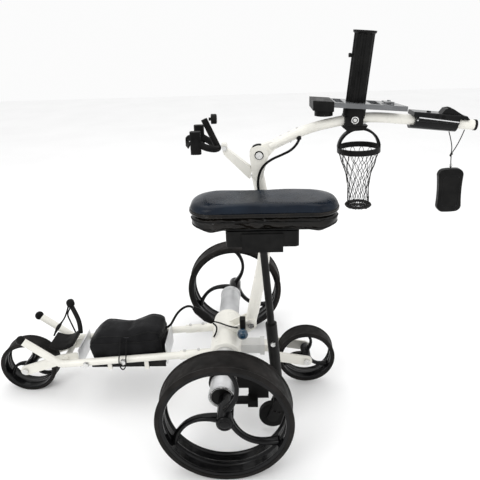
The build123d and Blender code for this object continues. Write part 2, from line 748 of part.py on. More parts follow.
stem_radius = 8.0
with BuildPart() as bag_bracket:
    yoke = (
        (-62, -44, 752),
        (-36, -40, 736),
        (-16, -22, 728),
        (-9, 0, 726),
        (-16, 22, 728),
        (-36, 40, 736),
        (-62, 44, 752),
    )
    for side in sides.values():
        block((-74, -48), (side * 34, side * 52), (722, 778))
    fillet(bag_bracket.edges().filter_by(Axis.Z), radius=7)
    bent_tube(yoke, 8.5, name="bag bracket yoke")
    rod((-12, 0, 731), (-42, 0, 800), stem_radius)

with BuildPart() as bracket_knob:
    rod((-30, 0, 800), (-20, 0, 800), 4)
    rod((-24, 0, 800), (-10, 0, 800), 12.5)
    fillet(bracket_knob.edges().group_by(Axis.X)[-1], radius=3)

with BuildPart() as bracket_strap:
    points = ((-77, -46, 742), (-84, -30, 747), (-89, 0, 750), (-84, 30, 747), (-77, 46, 742))
    bent_tube(points, 2.5, name="bracket strap")

# ---- handle
handle_points = in_plane(handle_route)
grip_start = Vector(*handle_points[2])
grip_end = Vector(*handle_points[3])
along = (grip_end - grip_start).normalized()
upward = Vector(-along.Z, 0, along.X)


def on_grip(x, rise=0.0, y=0.0):
    """A point beside the straight end of the handle: X along it, and rise above its centre line."""
    base = grip_start + along * ((x - grip_start.X) / along.X)
    return base + upward * rise + Vector(0, y, 0)


with BuildPart() as handle_tube:
    bent_tube(handle_points, handle_radius, handle_radius - handle_wall)
    eye = Vector(hinge[0], 0, hinge[1])
    first = Vector(*handle_points[0])
    second = Vector(*handle_points[1])
    lead = (second - first).normalized()
    ys = (-hinge_eye_half, hinge_eye_half)
    link_plate(hinge, (first.X + lead.X * 4, first.Z + lead.Z * 4), hinge_disc_radius - 3, handle_radius - 1, ys)
    pin_start = (eye.X, -hinge_eye_half - 1, eye.Z)
    pin_end = (eye.X, hinge_eye_half + 1, eye.Z)
    rod(pin_start, pin_end, hinge_pin_radius + running, mode=Mode.SUBTRACT)

cap_inner = grip_end - along * 12
grommet_out = Vector(0, -0.62, -0.78)
grommet_at = Vector(193, 0, 759.5) + grommet_out * (handle_radius - 2)
with BuildPart() as handle_caps:
    rod(tuple(grommet_at), tuple(grommet_at + grommet_out * 7), 6)
    bent_tube(handle_points, handle_radius + seat_fit, mode=Mode.SUBTRACT)
    rod(tuple(grip_end + along * gap), tuple(grip_end + along * 6), handle_radius + 1)
    rod(tuple(cap_inner), tuple(grip_end + along * (gap + 1)), handle_radius - handle_wall - seat_fit)

with BuildPart() as handle_cable:
    exit_point = grommet_at + grommet_out * 8.2
    points = (
        tuple(exit_point),
        (189, -20, 738),
        (174, -25, 722),
        (150, -27, 711),
        (123, -27, 700),
        (102, -26, 683),
        (91, -25, 660),
        (88, -25, 634),
        (91, -25, 610),
        (95, -24, 588),
        (98, -20, 574),
    )
    bent_tube(points, cable_radius, name="handle cable")

# ---- control box on the grip, with its board, dial and button
with BuildPart() as control_box:
    box_start = on_grip(box_start_x)
    with BuildSketch(Plane(origin=box_start, x_dir=(0, 1, 0), z_dir=along)) as section:
        sign = -1 if section.workplanes[0].y_dir.Z < 0 else 1
        Circle(box_bottom)
        with Locations((0, sign * box_top / 2)):
            RectangleRounded(2 * box_half, box_top, 4)
    extrude(amount=box_length)
    mouth = [(box_start_x - 1, 12), (box_start_x + box_notch, 12), (box_start_x + box_notch, -14), (box_start_x - 1, -14)]
    mouth = [on_grip(x, rise) for x, rise in mouth]
    side_plate([(p.X, p.Z) for p in mouth], (-30, 30), mode=Mode.SUBTRACT)
    dial_x = 553.0
    dial_rise = 27.0
    ridge = ((534, 20), (543, 34.5), (548, 36.5), (560, 36.5), (590, 21.5), (598, 21), (607, 12.5), (578, 12.5))
    guard = [on_grip(x, rise) for x, rise in ridge]
    side_plate([(p.X, p.Z) for p in guard], (-13, 13))
    slot = (dial_width + 1) / 2
    dial_at = on_grip(dial_x, dial_rise)
    clear = dial_radius + 0.6
    rod((dial_at.X, -slot, dial_at.Z), (dial_at.X, slot, dial_at.Z), clear, mode=Mode.SUBTRACT)
    rod((dial_at.X, -11, dial_at.Z), (dial_at.X, 11, dial_at.Z), 2 + running, mode=Mode.SUBTRACT)
    tube_bore = handle_radius + seat_fit
    rod(tuple(on_grip(box_start_x - 1)), tuple(on_grip(615)), tube_bore, mode=Mode.SUBTRACT)
    pocket = [on_grip(x, rise) for x, rise in ((484, 4), (542, 4), (542, 20), (484, 20))]
    side_plate([(p.X, p.Z) for p in pocket], (-20, 20), mode=Mode.SUBTRACT)
    button_x = 508.0
    rod(tuple(on_grip(button_x, 19)), tuple(on_grip(button_x, 30)), 5 + running, mode=Mode.SUBTRACT)

with BuildPart() as circuit_board:
    board = [on_grip(x, rise) for x, rise in ((487, 15.8), (539, 15.8), (539, 17.0), (487, 17.0))]
    side_plate([(p.X, p.Z) for p in board], (-18, 18))

with BuildPart() as speed_dial:
    half = dial_width / 2
    rod((dial_at.X, -half, dial_at.Z), (dial_at.X, half, dial_at.Z), dial_radius)
    rod((dial_at.X, -10.5, dial_at.Z), (dial_at.X, 10.5, dial_at.Z), 2)

with BuildPart() as power_button:
    rod(tuple(on_grip(button_x, 18.6)), tuple(on_grip(button_x, 25)), 5)

# ---- umbrella holder: clamp round the handle, ribbed tube, hand screw
lean = math.radians(umbrella_lean)
umbrella_up = Vector(math.sin(lean), 0, math.cos(lean))
umbrella_base = Vector(umbrella_foot[0], 0, umbrella_foot[1])
handle_at_clamp = Vector(327, 0, 791.5)
with BuildPart() as umbrella_tube:
    foot = umbrella_base + umbrella_up * gap
    top = umbrella_base + umbrella_up * umbrella_length
    with BuildSketch(Plane(origin=foot, z_dir=umbrella_up)):
        Circle(umbrella_radius)
        with PolarLocations(umbrella_radius, rib_count):
            Circle(rib_radius)
        Circle(umbrella_bore, mode=Mode.SUBTRACT)
    extrude(amount=umbrella_length - 4)
    with BuildSketch(Plane(origin=top - umbrella_up * 4, z_dir=umbrella_up)):
        Circle(flange_radius)
        Circle(umbrella_bore, mode=Mode.SUBTRACT)
    extrude(amount=4)
    screw_at = umbrella_base + umbrella_up * screw_height
    screw_hole_end = screw_at - Vector(umbrella_radius + 3, 0, 0)
    rod(tuple(screw_at), tuple(screw_hole_end), 3 + running, mode=Mode.SUBTRACT)

with BuildPart() as umbrella_screw:
    tip = screw_at - Vector(umbrella_bore + 0.4, 0, 0)
    neck_at = screw_at - Vector(umbrella_radius + rib_radius + 1, 0, 0)
    rod(tuple(tip), tuple(neck_at - Vector(1, 0, 0)), 3)
    rod(tuple(neck_at), tuple(neck_at - Vector(6, 0, 0)), 5)

# ---- score console above the handle, on its own foot
tray_slope = (console_rear_z - console_front_z) / (console_rear_x - console_front_x)


def console_z(x):
    """The height of the console's top face."""
    return console_front_z + tray_slope * (x - console_front_x)


def tray_layer(xs, rise):
    """The XZ corners of a layer of the console, from rise[0] to rise[1] above its top face."""
    low = [(x, console_z(x) + rise[0]) for x in xs]
    high = [(x, console_z(x) + rise[1]) for x in reversed(xs)]
    return low + high


clip_x = 416.0
tongue_x = housing_rear_x - tongue
with BuildPart() as console_tray:
    side_plate(tray_layer((tongue_x, console_rear_x), (-console_thick, 0)), (-console_half, console_half))
    corner = ((console_rear_x + 1, -console_half - 1), (console_rear_x + 1, console_half + 1), (console_far_x, console_half + 1))
    with BuildSketch(Plane.XY.offset(console_rear_z - 2 * console_thick)) as beyond:
        Polygon(*corner, align=None)
    extrude(beyond.sketch, amount=4 * console_thick, mode=Mode.SUBTRACT)
    for xs in recess_xs:
        ys = (recess_edge - console_half, console_half - recess_edge)
        side_plate(tray_layer(xs, (-recess_depth, 1)), ys, mode=Mode.SUBTRACT)
    hole = umbrella_radius + rib_radius + 0.6
    rod(tuple(umbrella_base), tuple(umbrella_base + umbrella_up * 60), hole, mode=Mode.SUBTRACT)
    for side in sides.values():
        side_plate(tray_layer((clip_x - 4, clip_x + 4), (-1, 6)), (side * 15, side * 19))
    pin = (clip_x, console_z(clip_x) + 3)
    rod((pin[0], -25, pin[1]), (pin[0], 25, pin[1]), 1.5 + running, mode=Mode.SUBTRACT)

clamp_xs = (303.0, 347.0)
clamp_zs = (776.5, 802.0)
clamp_half = 24.0
clamp_bolt = (326.0, 792.0)
with BuildPart() as handle_clamps:
    block(clamp_xs, (-clamp_half, clamp_half), clamp_zs)
    fillet(handle_clamps.edges().filter_by(Axis.X), radius=7)
    hollow = umbrella_radius + rib_radius + 0.4
    collar = hollow + collar_wall
    rod(tuple(umbrella_base - umbrella_up * 16), tuple(umbrella_base + umbrella_up * collar_rise), collar)
    rod(tuple(umbrella_base), tuple(umbrella_base + umbrella_up * 15), hollow, mode=Mode.SUBTRACT)
    bent_tube(handle_points, handle_radius + seat_fit, mode=Mode.SUBTRACT)
    rod((clamp_bolt[0], -clamp_half, clamp_bolt[1]), (clamp_bolt[0], -clamp_half - 4, clamp_bolt[1]), 8)
    shell = tray_layer((console_front_x, housing_rear_x), (-housing_depth, 1.5))
    side_plate(shell, (-console_half - 1.5, console_half + 1.5))
    rod((drum_x, 0, drum_bottom), (drum_x, 0, console_z(drum_x) - console_thick - 2), drum_radius)
    slot_shape = tray_layer((tongue_x - gap, housing_rear_x + 1), (-console_thick - 0.2, 0.2))
    side_plate(slot_shape, (-console_half - 0.2, console_half + 0.2), mode=Mode.SUBTRACT)

with BuildPart() as console_clip:
    side_plate(tray_layer((clip_x - 18, clip_x), (1.5, 4.5)), (-14, 14))
    rod((pin[0], -14, pin[1]), (pin[0], 14, pin[1]), 2.2)
    rod((pin[0], -18.5, pin[1]), (pin[0], 18.5, pin[1]), 1.5)

# ---- ball net basket under the clamp
drop = math.radians(basket_lean)
basket_down = Vector(math.sin(drop), 0, -math.cos(drop))
ring_at = Vector(basket_top[0], 0, basket_top[1])
across = Vector(math.cos(drop), 0, math.sin(drop))
with BuildPart() as basket_ring:
    with BuildSketch(Plane(origin=ring_at, z_dir=basket_down)):
        Circle(ring_radius)
        Circle(ring_radius - ring_wall, mode=Mode.SUBTRACT)
    extrude(amount=ring_height)
    with BuildSketch(Plane.XZ) as arch:
        with BuildLine() as bow:
            left_top = ring_at - across * (ring_radius - 3)
            right_top = ring_at + across * (ring_radius - 3)
            crown = ring_at - basket_down * arch_rise
            ThreePointArc((left_top.X, left_top.Z), (crown.X, crown.Z), (right_top.X, right_top.Z))
        trace(bow.line, line_width=6)
    extrude(amount=8, both=True)
    saddle = ((299, 773), (302, 776), (361, 776), (358, 770), (352, 764), (312, 762))
    side_plate(saddle, (-14, 14))
    bent_tube(handle_points, handle_radius + gap, mode=Mode.SUBTRACT)

with BuildPart() as ball_net:
    net_top = ring_at + basket_down * (ring_height - 2)
    net_foot = net_top + basket_down * net_length
    with BuildSketch(Plane(origin=net_top, z_dir=basket_down)):
        Circle(ring_radius - ring_wall - gap)
    waist_at = net_top + basket_down * (net_length * net_waist)
    with BuildSketch(Plane(origin=waist_at, z_dir=basket_down)):
        Circle(net_waist_radius)
    with BuildSketch(Plane(origin=net_foot, z_dir=basket_down)):
        Circle(net_foot_radius)
    loft(ruled=True)
    with BuildSketch(Plane(origin=net_foot - basket_down * 1, z_dir=basket_down)):
        Circle(net_disc_radius)
    extrude(amount=5)
    with BuildSketch(Plane(origin=net_top - basket_down, z_dir=basket_down)):
        Circle(ring_radius - ring_wall - gap - 3)
    with BuildSketch(Plane(origin=waist_at, z_dir=basket_down)):
        Circle(net_waist_radius - 3)
    with BuildSketch(Plane(origin=net_foot - basket_down * 2, z_dir=basket_down)):
        Circle(net_foot_radius - 3)
    loft(ruled=True, mode=Mode.SUBTRACT)

# ---- remote on its lanyard
with BuildPart() as remote_case:
    w, h = remote_width / 2, remote_height / 2
    face = Plane(origin=(remote_centre[0], 0, remote_centre[1]), x_dir=(1, 0, remote_tilt), z_dir=(0, -1, 0))
    with BuildSketch(face) as outline:
        with BuildLine():
            ThreePointArc((w, h - 3), (0, h), (-w, h - 3))
            ThreePointArc((-w, h - 3), (-w + 4, 0), (-w + 1, -h + 3))
            ThreePointArc((-w + 1, -h + 3), (0, -h), (w - 1, -h + 3))
            ThreePointArc((w - 1, -h + 3), (w - 4, 0), (w, h - 3))
        make_face()
        fillet(outline.vertices(), radius=16)
    extrude(amount=remote_half, both=True)
    rims = remote_case.faces().filter_by(Axis.Y).edges()
    fillet(rims, radius=5)
    button_at = (remote_centre[0], remote_centre[1] + 22)
    pocket_start = (button_at[0], remote_half - 4, button_at[1])
    pocket_end = (button_at[0], remote_half + 1, button_at[1])
    rod(pocket_start, pocket_end, 7 + running, mode=Mode.SUBTRACT)

with BuildPart() as remote_button:
    rod((button_at[0], remote_half - 2.5, button_at[1]), (button_at[0], remote_half + 1.5, button_at[1]), 7)

remote_top = Vector(remote_centre[0] - remote_tilt * remote_height / 2, 0, remote_centre[1] + remote_height / 2)
with BuildPart() as lanyard:
    strand_a = on_grip(567, -box_bottom - 1.0)
    strand_b = on_grip(604, -handle_radius - 1.0)
    knot = remote_top + Vector(-3, 0, 36)
    points = (tuple(strand_a), (knot.X + 1, 0, knot.Z + 24), tuple(knot), tuple(remote_top + Vector(0, 0, 1)))
    bent_tube(points, lanyard_radius, name="lanyard, front strand")
    second = (tuple(strand_b), (knot.X + 16, 0, knot.Z + 26), (knot.X + 5, 0, knot.Z + 3))
    bent_tube(second, lanyard_radius, name="lanyard, rear strand")

pieces.update(
    {
        "castor_wheel": castor_wheel,
        "axle_housing": axle_housing,
        "motor_tubes": motor_tubes,
        "gear_motors": gear_motors,
        "frame_rails": frame_rails,
        "arm_end_caps": arm_end_caps,
        "front_fork": front_fork,
        "axle_bolts": axle_bolts,
        "cross_plates": cross_plates,
        "battery_tray": battery_tray,
        "frame_bolts": frame_bolts,
        "cradle_pad": cradle_pad,
        "elastic_cords": elastic_cords,
        "battery_bag": battery_bag,
        "battery": battery,
        "connector_boot": connector_boot,
        "battery_leads": battery_leads,
        "latch_column": latch_column,
        "lock_knob": lock_knob,
        "antitip_receiver": antitip_receiver,
        "antitip_arm": antitip_arm,
        "seat_socket": seat_socket,
        "seat_clamp": seat_clamp,
        "seat_post": seat_post,
        "seat_box": seat_box,
        "seat_pocket": seat_pocket,
        "seat_cushion": seat_cushion,
        "mast_tube": mast_tube,
        "hinge_bolt": hinge_bolt,
        "bag_arm": bag_arm,
        "bag_bracket": bag_bracket,
        "bracket_knob": bracket_knob,
        "bracket_strap": bracket_strap,
        "handle_tube": handle_tube,
        "handle_caps": handle_caps,
        "handle_cable": handle_cable,
        "control_box": control_box,
        "circuit_board": circuit_board,
        "speed_dial": speed_dial,
        "power_button": power_button,
        "handle_clamps": handle_clamps,
        "umbrella_tube": umbrella_tube,
        "umbrella_screw": umbrella_screw,
        "console_tray": console_tray,
        "console_clip": console_clip,
        "basket_ring": basket_ring,
        "ball_net": ball_net,
        "remote_case": remote_case,
        "remote_button": remote_button,
        "lanyard": lanyard,
    }
)

os.makedirs("parts", exist_ok=True)
for name, piece in pieces.items():
    piece.part.label = name
    export_step(piece.part, f"parts/{name}.step")
print(len(pieces), "nodes written")
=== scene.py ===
# %% [markdown]
# # An electric golf trolley, finished for its picture
# The trolley's frame, wheels, hinges and bolts come in ready made and in place. This lesson
# gives each of them a real finish, and builds what a machine drawing leaves plain: treaded
# tyres, curved spokes, the quilted seat, the soft bags, the net and every cord and strap.

# %% Load the frame
import json
import math

import bmesh
import bpy
from mathutils import Matrix, Vector, noise
from mathutils.bvhtree import BVHTree


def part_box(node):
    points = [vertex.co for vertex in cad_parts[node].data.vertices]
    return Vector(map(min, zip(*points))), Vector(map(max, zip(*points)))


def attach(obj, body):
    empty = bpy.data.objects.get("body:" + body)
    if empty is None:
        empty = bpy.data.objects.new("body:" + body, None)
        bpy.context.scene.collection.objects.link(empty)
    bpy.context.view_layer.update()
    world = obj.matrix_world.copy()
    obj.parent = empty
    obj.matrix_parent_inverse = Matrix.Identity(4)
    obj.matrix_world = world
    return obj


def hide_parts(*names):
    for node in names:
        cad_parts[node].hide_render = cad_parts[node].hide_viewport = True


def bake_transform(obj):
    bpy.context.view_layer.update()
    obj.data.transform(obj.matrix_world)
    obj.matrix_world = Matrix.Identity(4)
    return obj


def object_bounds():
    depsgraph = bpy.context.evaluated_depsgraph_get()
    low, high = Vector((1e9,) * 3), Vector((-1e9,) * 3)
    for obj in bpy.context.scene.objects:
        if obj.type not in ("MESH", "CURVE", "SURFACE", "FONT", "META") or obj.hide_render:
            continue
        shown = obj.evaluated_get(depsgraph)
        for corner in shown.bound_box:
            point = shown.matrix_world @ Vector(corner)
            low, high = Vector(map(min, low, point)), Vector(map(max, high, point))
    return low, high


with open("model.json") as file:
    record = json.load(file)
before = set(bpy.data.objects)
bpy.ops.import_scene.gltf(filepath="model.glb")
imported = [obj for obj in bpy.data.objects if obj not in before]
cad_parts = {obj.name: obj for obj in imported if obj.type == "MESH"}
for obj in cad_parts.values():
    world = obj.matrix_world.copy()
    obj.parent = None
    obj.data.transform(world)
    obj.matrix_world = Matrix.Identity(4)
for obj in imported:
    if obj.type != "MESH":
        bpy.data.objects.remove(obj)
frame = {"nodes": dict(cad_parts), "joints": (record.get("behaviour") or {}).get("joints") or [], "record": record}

cad_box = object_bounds()
nodes = frame["nodes"]
joints = {joint["name"]: joint for joint in frame["joints"]}
slot_of = {part["node"]: part["material_slot"] for part in frame["record"]["subparts"]}
print("CAD box", [round(value, 3) for corner in cad_box for value in corner])

# %% [markdown]
# ## The camera
# A catalogue shot is taken from the trolley's left side, a little above handle height. The
# camera can be aimed with a constraint or given its own axes. Its axes are written out here,
# because the picture also has a slight roll that a track-to constraint would remove.

# %% Place the camera
camera_right = Vector((0.9993, 0.0208, -0.0312))
camera_up = Vector((0.0228, 0.3247, 0.9456))
camera_back = Vector((0.0298, -0.9456, 0.3240))
camera_place = Vector((0.0885, -1.1765, 1.0018))
camera_data = bpy.data.cameras.new("catalogue_camera")
camera_data.lens = 35.67
camera_data.sensor_width = 36.0
camera_data.shift_x = -0.0083
camera_data.shift_y = -0.0938
camera_data.clip_end = 50.0
camera = bpy.data.objects.new("catalogue_camera", camera_data)
turned_axes = Matrix((camera_right, camera_up, camera_back)).transposed().to_4x4()
camera.matrix_world = Matrix.Translation(camera_place) @ turned_axes
bpy.context.scene.collection.objects.link(camera)
bpy.context.scene.camera = camera
print("camera at", tuple(camera_place))

# %% [markdown]
# ## The remote's lanyard
# The remote hangs from the handle by a thin cord in two strands, knotted together above a
# little metal clip. A cord is a curve with a round bevel. A NURBS curve is chosen over a
# poly line, because it bends smoothly from end to end as a hanging cord does.

# %% Hang the lanyard
def smooth_line(name, points, radius):
    """A round cord along one smooth open curve."""
    data = bpy.data.curves.new(name, "CURVE")
    data.dimensions = "3D"
    data.bevel_depth = radius
    data.bevel_resolution = 4
    data.resolution_u = 12
    data.use_fill_caps = radius > 0
    spline = data.splines.new("NURBS")
    spline.points.add(len(points) - 1)
    for point, place in zip(spline.points, points):
        point.co = (*place, 1.0)
    spline.order_u = 3
    spline.use_endpoint_u = True
    cord = bpy.data.objects.new(name, data)
    bpy.context.scene.collection.objects.link(cord)
    return cord


LANYARD_RADIUS = 0.0012
front_route = (
    (0.5647, 0.0, 0.7526),
    (0.5770, 0.0, 0.7180),
    (0.5760, 0.0, 0.6940),
    (0.5790, 0.0, 0.6590),
)
rear_route = ((0.6025, 0.0, 0.7565), (0.5920, 0.0, 0.7200), (0.5770, 0.0, 0.6965))
front_strand = smooth_line("lanyard_front_strand", front_route, LANYARD_RADIUS)
rear_strand = smooth_line("lanyard_rear_strand", rear_route, LANYARD_RADIUS)
for strand in (front_strand, rear_strand):
    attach(strand, "remote")
    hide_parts("lanyard")
print("lanyard strands:", front_strand.name, rear_strand.name)

# %% [markdown]
# ## Mesh helpers
# Nearly every piece is turned on a lathe, swept along a line, or sewn. So a few small helpers
# do most of the work: one keeps a mesh, one joins rings of points with faces, and one sweeps
# a rounded section along a path. Curves could do the sweeps, but a mesh lets the section swell
# and thin along the way, as a moulded spoke does.

# %% Keep, join and sweep
def keep(name, verts, faces, sharp=35.0):
    """A linked mesh object, smooth except across corners sharper than the given angle."""
    mesh = bpy.data.meshes.new(name)
    mesh.from_pydata([tuple(vert) for vert in verts], [], faces)
    mesh.validate()
    mesh.update()
    made = bmesh.new()
    made.from_mesh(mesh)
    bmesh.ops.recalc_face_normals(made, faces=made.faces)
    made.to_mesh(mesh)
    made.free()
    mesh.polygons.foreach_set("use_smooth", [True] * len(mesh.polygons))
    mesh.set_sharp_from_angle(angle=math.radians(sharp))
    piece = bpy.data.objects.new(name, mesh)
    bpy.context.scene.collection.objects.link(piece)
    return piece


def ring_faces(rings, count, closed=False, caps=True):
    """Quads between rings of count points each, joined end to end or capped."""
    faces = []
    for ring in range(rings if closed else rings - 1):
        here, there = ring * count, (ring + 1) % rings * count
        for step in range(count):
            after = (step + 1) % count
            faces.append((here + step, here + after, there + after, there + step))
    if caps and not closed:
        faces.append(tuple(range(count)))
        faces.append(tuple(range((rings - 1) * count, rings * count)))
    return faces


def swept(path, sections, sides=16, roundness=1.0):
    """Vertices and faces of a tube along path, with a half width and half depth at each point."""
    verts = []
    up = Vector((0, 1, 0))
    for index, (place, (half_wide, half_deep)) in enumerate(zip(path, sections)):
        ahead = path[min(index + 1, len(path) - 1)] - path[max(index - 1, 0)]
        ahead.normalize()
        wide = ahead.cross(up)
        if wide.length < 0.3:
            wide = ahead.cross(Vector((1, 0, 0)))
        wide.normalize()
        deep = wide.cross(ahead)
        for side in range(sides):
            angle = 2 * math.pi * side / sides
            c, s = math.cos(angle), math.sin(angle)
            c = math.copysign(abs(c) ** roundness, c)
            s = math.copysign(abs(s) ** roundness, s)
            verts.append(place + wide * (half_wide * c) + deep * (half_deep * s))
    return verts, ring_faces(len(path), sides)


def add_to(verts, faces, more_verts, more_faces):
    """Adds one lot of vertices and faces to another."""
    start = len(verts)
    verts.extend(more_verts)
    faces.extend(tuple(start + index for index in face) for face in more_faces)


def finish_piece(piece, body, slot, finish, *replaced):
    """Gives a piece its body and its finish, and hides the nodes that it stands for. The slot is not used."""
    piece.data.materials.clear()
    piece.data.materials.append(finish)
    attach(piece, body)
    if replaced:
        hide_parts(*replaced)
    return piece


print("helpers ready")

# %% [markdown]
# ## Finishes
# Each finish is a node material that reads the trolley's own coordinates in metres, so a
# grain has its true size on every piece without any unwrapping. Image textures would need a
# file and a seam; noise, waves and cells need neither. A few helpers keep each finish short:
# one for the shader, one for noise, one for a colour ramp and one for bumps.

# %% Shader helpers
class Finish:
    """A material under construction: its shader, its nodes and the piece's coordinates."""

    def __init__(self, name, rough, metal=0.0, **sockets):
        self.material = bpy.data.materials.new(name)
        self.material.use_nodes = True
        self.tree = self.material.node_tree
        self.shader = self.tree.nodes["Principled BSDF"]
        self.shader.inputs["Roughness"].default_value = rough
        self.shader.inputs["Metallic"].default_value = metal
        for socket, value in sockets.items():
            self.shader.inputs[socket.replace("_", " ")].default_value = value
        self.where = self.tree.nodes.new("ShaderNodeTexCoord").outputs["Object"]
        self.normal = None

    def node(self, kind, **values):
        made = self.tree.nodes.new(kind)
        for name, value in values.items():
            setattr(made, name, value)
        return made

    def link(self, output, socket):
        self.tree.links.new(output, socket)

    def stretched(self, *scale):
        """The coordinates, scaled by a different amount each way."""
        mapping = self.node("ShaderNodeMapping")
        mapping.inputs["Scale"].default_value = scale
        self.link(self.where, mapping.inputs["Vector"])
        return mapping.outputs["Vector"]

    def noise(self, scale, detail=3.0, where=None):
        made = self.node("ShaderNodeTexNoise")
        made.inputs["Scale"].default_value = scale
        made.inputs["Detail"].default_value = detail
        self.link(where or self.where, made.inputs["Vector"])
        return made.outputs["Fac"]

    def cells(self, scale, feature="F1"):
        made = self.node("ShaderNodeTexVoronoi", feature=feature)
        made.inputs["Scale"].default_value = scale
        self.link(self.where, made.inputs["Vector"])
        return made.outputs["Distance"]

    def wave(self, scale, direction, distortion=0.0, where=None):
        made = self.node("ShaderNodeTexWave", bands_direction=direction)
        made.inputs["Scale"].default_value = scale
        made.inputs["Distortion"].default_value = distortion
        self.link(where or self.where, made.inputs["Vector"])
        return made.outputs["Fac"]

    def sum(self, first, second, operation="ADD"):
        made = self.node("ShaderNodeMath", operation=operation)
        self.link(first, made.inputs[0])
        if isinstance(second, float):
            made.inputs[1].default_value = second
        else:
            self.link(second, made.inputs[1])
        return made.outputs[0]

    def ramp(self, factor, low, high, start=0.3, end=0.7):
        """A value or a colour that goes from low to high between two values of factor."""
        made = self.node("ShaderNodeValToRGB")
        made.color_ramp.elements[0].position = start
        made.color_ramp.elements[1].position = end
        for element, colour in zip(made.color_ramp.elements, (low, high)):
            colour = (colour,) * 3 if isinstance(colour, float) else colour
            element.color = (*colour[:3], 1.0)
        self.link(factor, made.inputs["Fac"])
        return made.outputs["Color"]

    def colour(self, factor, low, high, start=0.3, end=0.7):
        self.link(self.ramp(factor, low, high, start, end), self.shader.inputs["Base Color"])

    def roughness(self, factor, low, high, start=0.3, end=0.7):
        self.link(self.ramp(factor, low, high, start, end), self.shader.inputs["Roughness"])

    def bump(self, height, strength, depth):
        """Adds a layer of bumps, depth metres high, on top of the ones already there."""
        made = self.node("ShaderNodeBump")
        made.inputs["Strength"].default_value = strength
        made.inputs["Distance"].default_value = depth
        self.link(height, made.inputs["Height"])
        if self.normal:
            self.link(self.normal, made.inputs["Normal"])
        self.normal = made.outputs["Normal"]
        self.link(self.normal, self.shader.inputs["Normal"])


def shade(colour, factor):
    """A paler or darker copy of a colour."""
    return tuple(min(1.0, value * factor) for value in colour[:3])


finishes = {}
print("shader helpers ready")

# %% [markdown]
# ### Painted and bare metal
# The tubes are powder coated in warm white. Powder coat is never quite flat: it has a fine
# orange peel and faint handling marks. The motor tubes are satin aluminium with the fine
# rings that a lathe leaves, and the bolts are brushed bright steel.

# %% White and grey powder coat
def powder_coat(name, colour, rough=0.32):
    coat = Finish(name, rough, Coat_Weight=0.25, Coat_Roughness=0.2)
    marks = coat.noise(14.0, 6.0)
    coat.colour(marks, shade(colour, 0.9), colour, 0.34, 0.6)
    coat.roughness(coat.noise(55.0), rough + 0.1, rough - 0.06)
    coat.bump(coat.noise(900.0, 2.0), 0.12, 0.0004)
    coat.bump(coat.noise(120.0, 2.0), 0.06, 0.001)
    return coat.material


finishes["white_paint"] = powder_coat("white_powder_coat", (0.80, 0.785, 0.72))
finishes["grey_paint"] = powder_coat("pale_grey_casting", (0.60, 0.60, 0.585), 0.38)
print("powder coats made")

# %% Aluminium, bright steel and black steel
def turned_metal(name, colour, rough, ring_scale, ring_depth):
    metal = Finish(name, rough, 1.0)
    blotch = metal.noise(30.0, 4.0)
    metal.colour(blotch, shade(colour, 0.86), colour, 0.35, 0.65)
    rings = metal.wave(ring_scale, "Y", 0.6)
    metal.roughness(metal.noise(220.0, 4.0), rough + 0.1, rough - 0.05)
    metal.bump(rings, 0.15, ring_depth)
    return metal.material


finishes["bare_aluminium"] = turned_metal("satin_aluminium", (0.74, 0.745, 0.75), 0.42, 420.0, 0.0001)
finishes["bright_steel"] = turned_metal("bright_steel", (0.70, 0.70, 0.69), 0.24, 900.0, 0.00005)

black_steel = Finish("black_painted_steel", 0.36, Specular_IOR_Level=0.11)
black_steel.colour(black_steel.noise(22.0, 5.0), (0.005, 0.005, 0.005), (0.012, 0.0115, 0.011))
black_steel.roughness(black_steel.noise(90.0), 0.46, 0.28)
black_steel.bump(black_steel.noise(750.0, 2.0), 0.15, 0.0004)
finishes["black_steel"] = black_steel.material
print("metals made")

# %% [markdown]
# ### Rubber and plastic
# Tyre rubber is dull and a little dusty, with a fine moulded grain. The rims and the control
# box are polished black plastic, which shows soft scuffs as small changes of gloss. The
# clamps and brackets are textured black nylon, and the console is smoky clear plastic.

# %% Rubbers
def rubber(name, dark, dusty, rough, grain=650.0):
    made = Finish(name, rough, Specular_IOR_Level=0.08)
    made.colour(made.noise(24.0, 6.0), dark, dusty, 0.35, 0.75)
    made.roughness(made.noise(70.0, 4.0), rough - 0.12, rough + 0.1)
    made.bump(made.noise(grain, 3.0), 0.3, 0.0003)
    return made.material


finishes["tread_rubber"] = rubber("tyre_rubber", (0.008, 0.0075, 0.007), (0.020, 0.018, 0.017), 0.6)
finishes["black_rubber"] = rubber("soft_rubber", (0.004, 0.004, 0.004), (0.011, 0.0105, 0.010), 0.55, 900.0)
finishes["cable_sheath"] = rubber("cable_sheath", (0.003, 0.003, 0.003), (0.008, 0.008, 0.008), 0.4, 1400.0)
print("rubbers made")

# %% Plastics
gloss = Finish("polished_black_plastic", 0.14, Specular_IOR_Level=0.16)
gloss.colour(gloss.noise(18.0, 4.0), (0.002, 0.002, 0.0022), (0.006, 0.006, 0.0065))
gloss.roughness(gloss.noise(60.0, 7.0, gloss.stretched(1.0, 7.0, 1.0)), 0.24, 0.1, 0.35, 0.6)
gloss.bump(gloss.noise(260.0, 2.0), 0.04, 0.0005)
finishes["gloss_black"] = gloss.material

grained = Finish("grained_black_plastic", 0.42, Specular_IOR_Level=0.09)
grained.colour(grained.noise(35.0, 5.0), (0.004, 0.004, 0.004), (0.010, 0.0098, 0.0095))
grained.roughness(grained.noise(80.0), 0.52, 0.32)
grained.bump(grained.cells(1100.0), 0.2, 0.0003)
finishes["black_plastic"] = grained.material

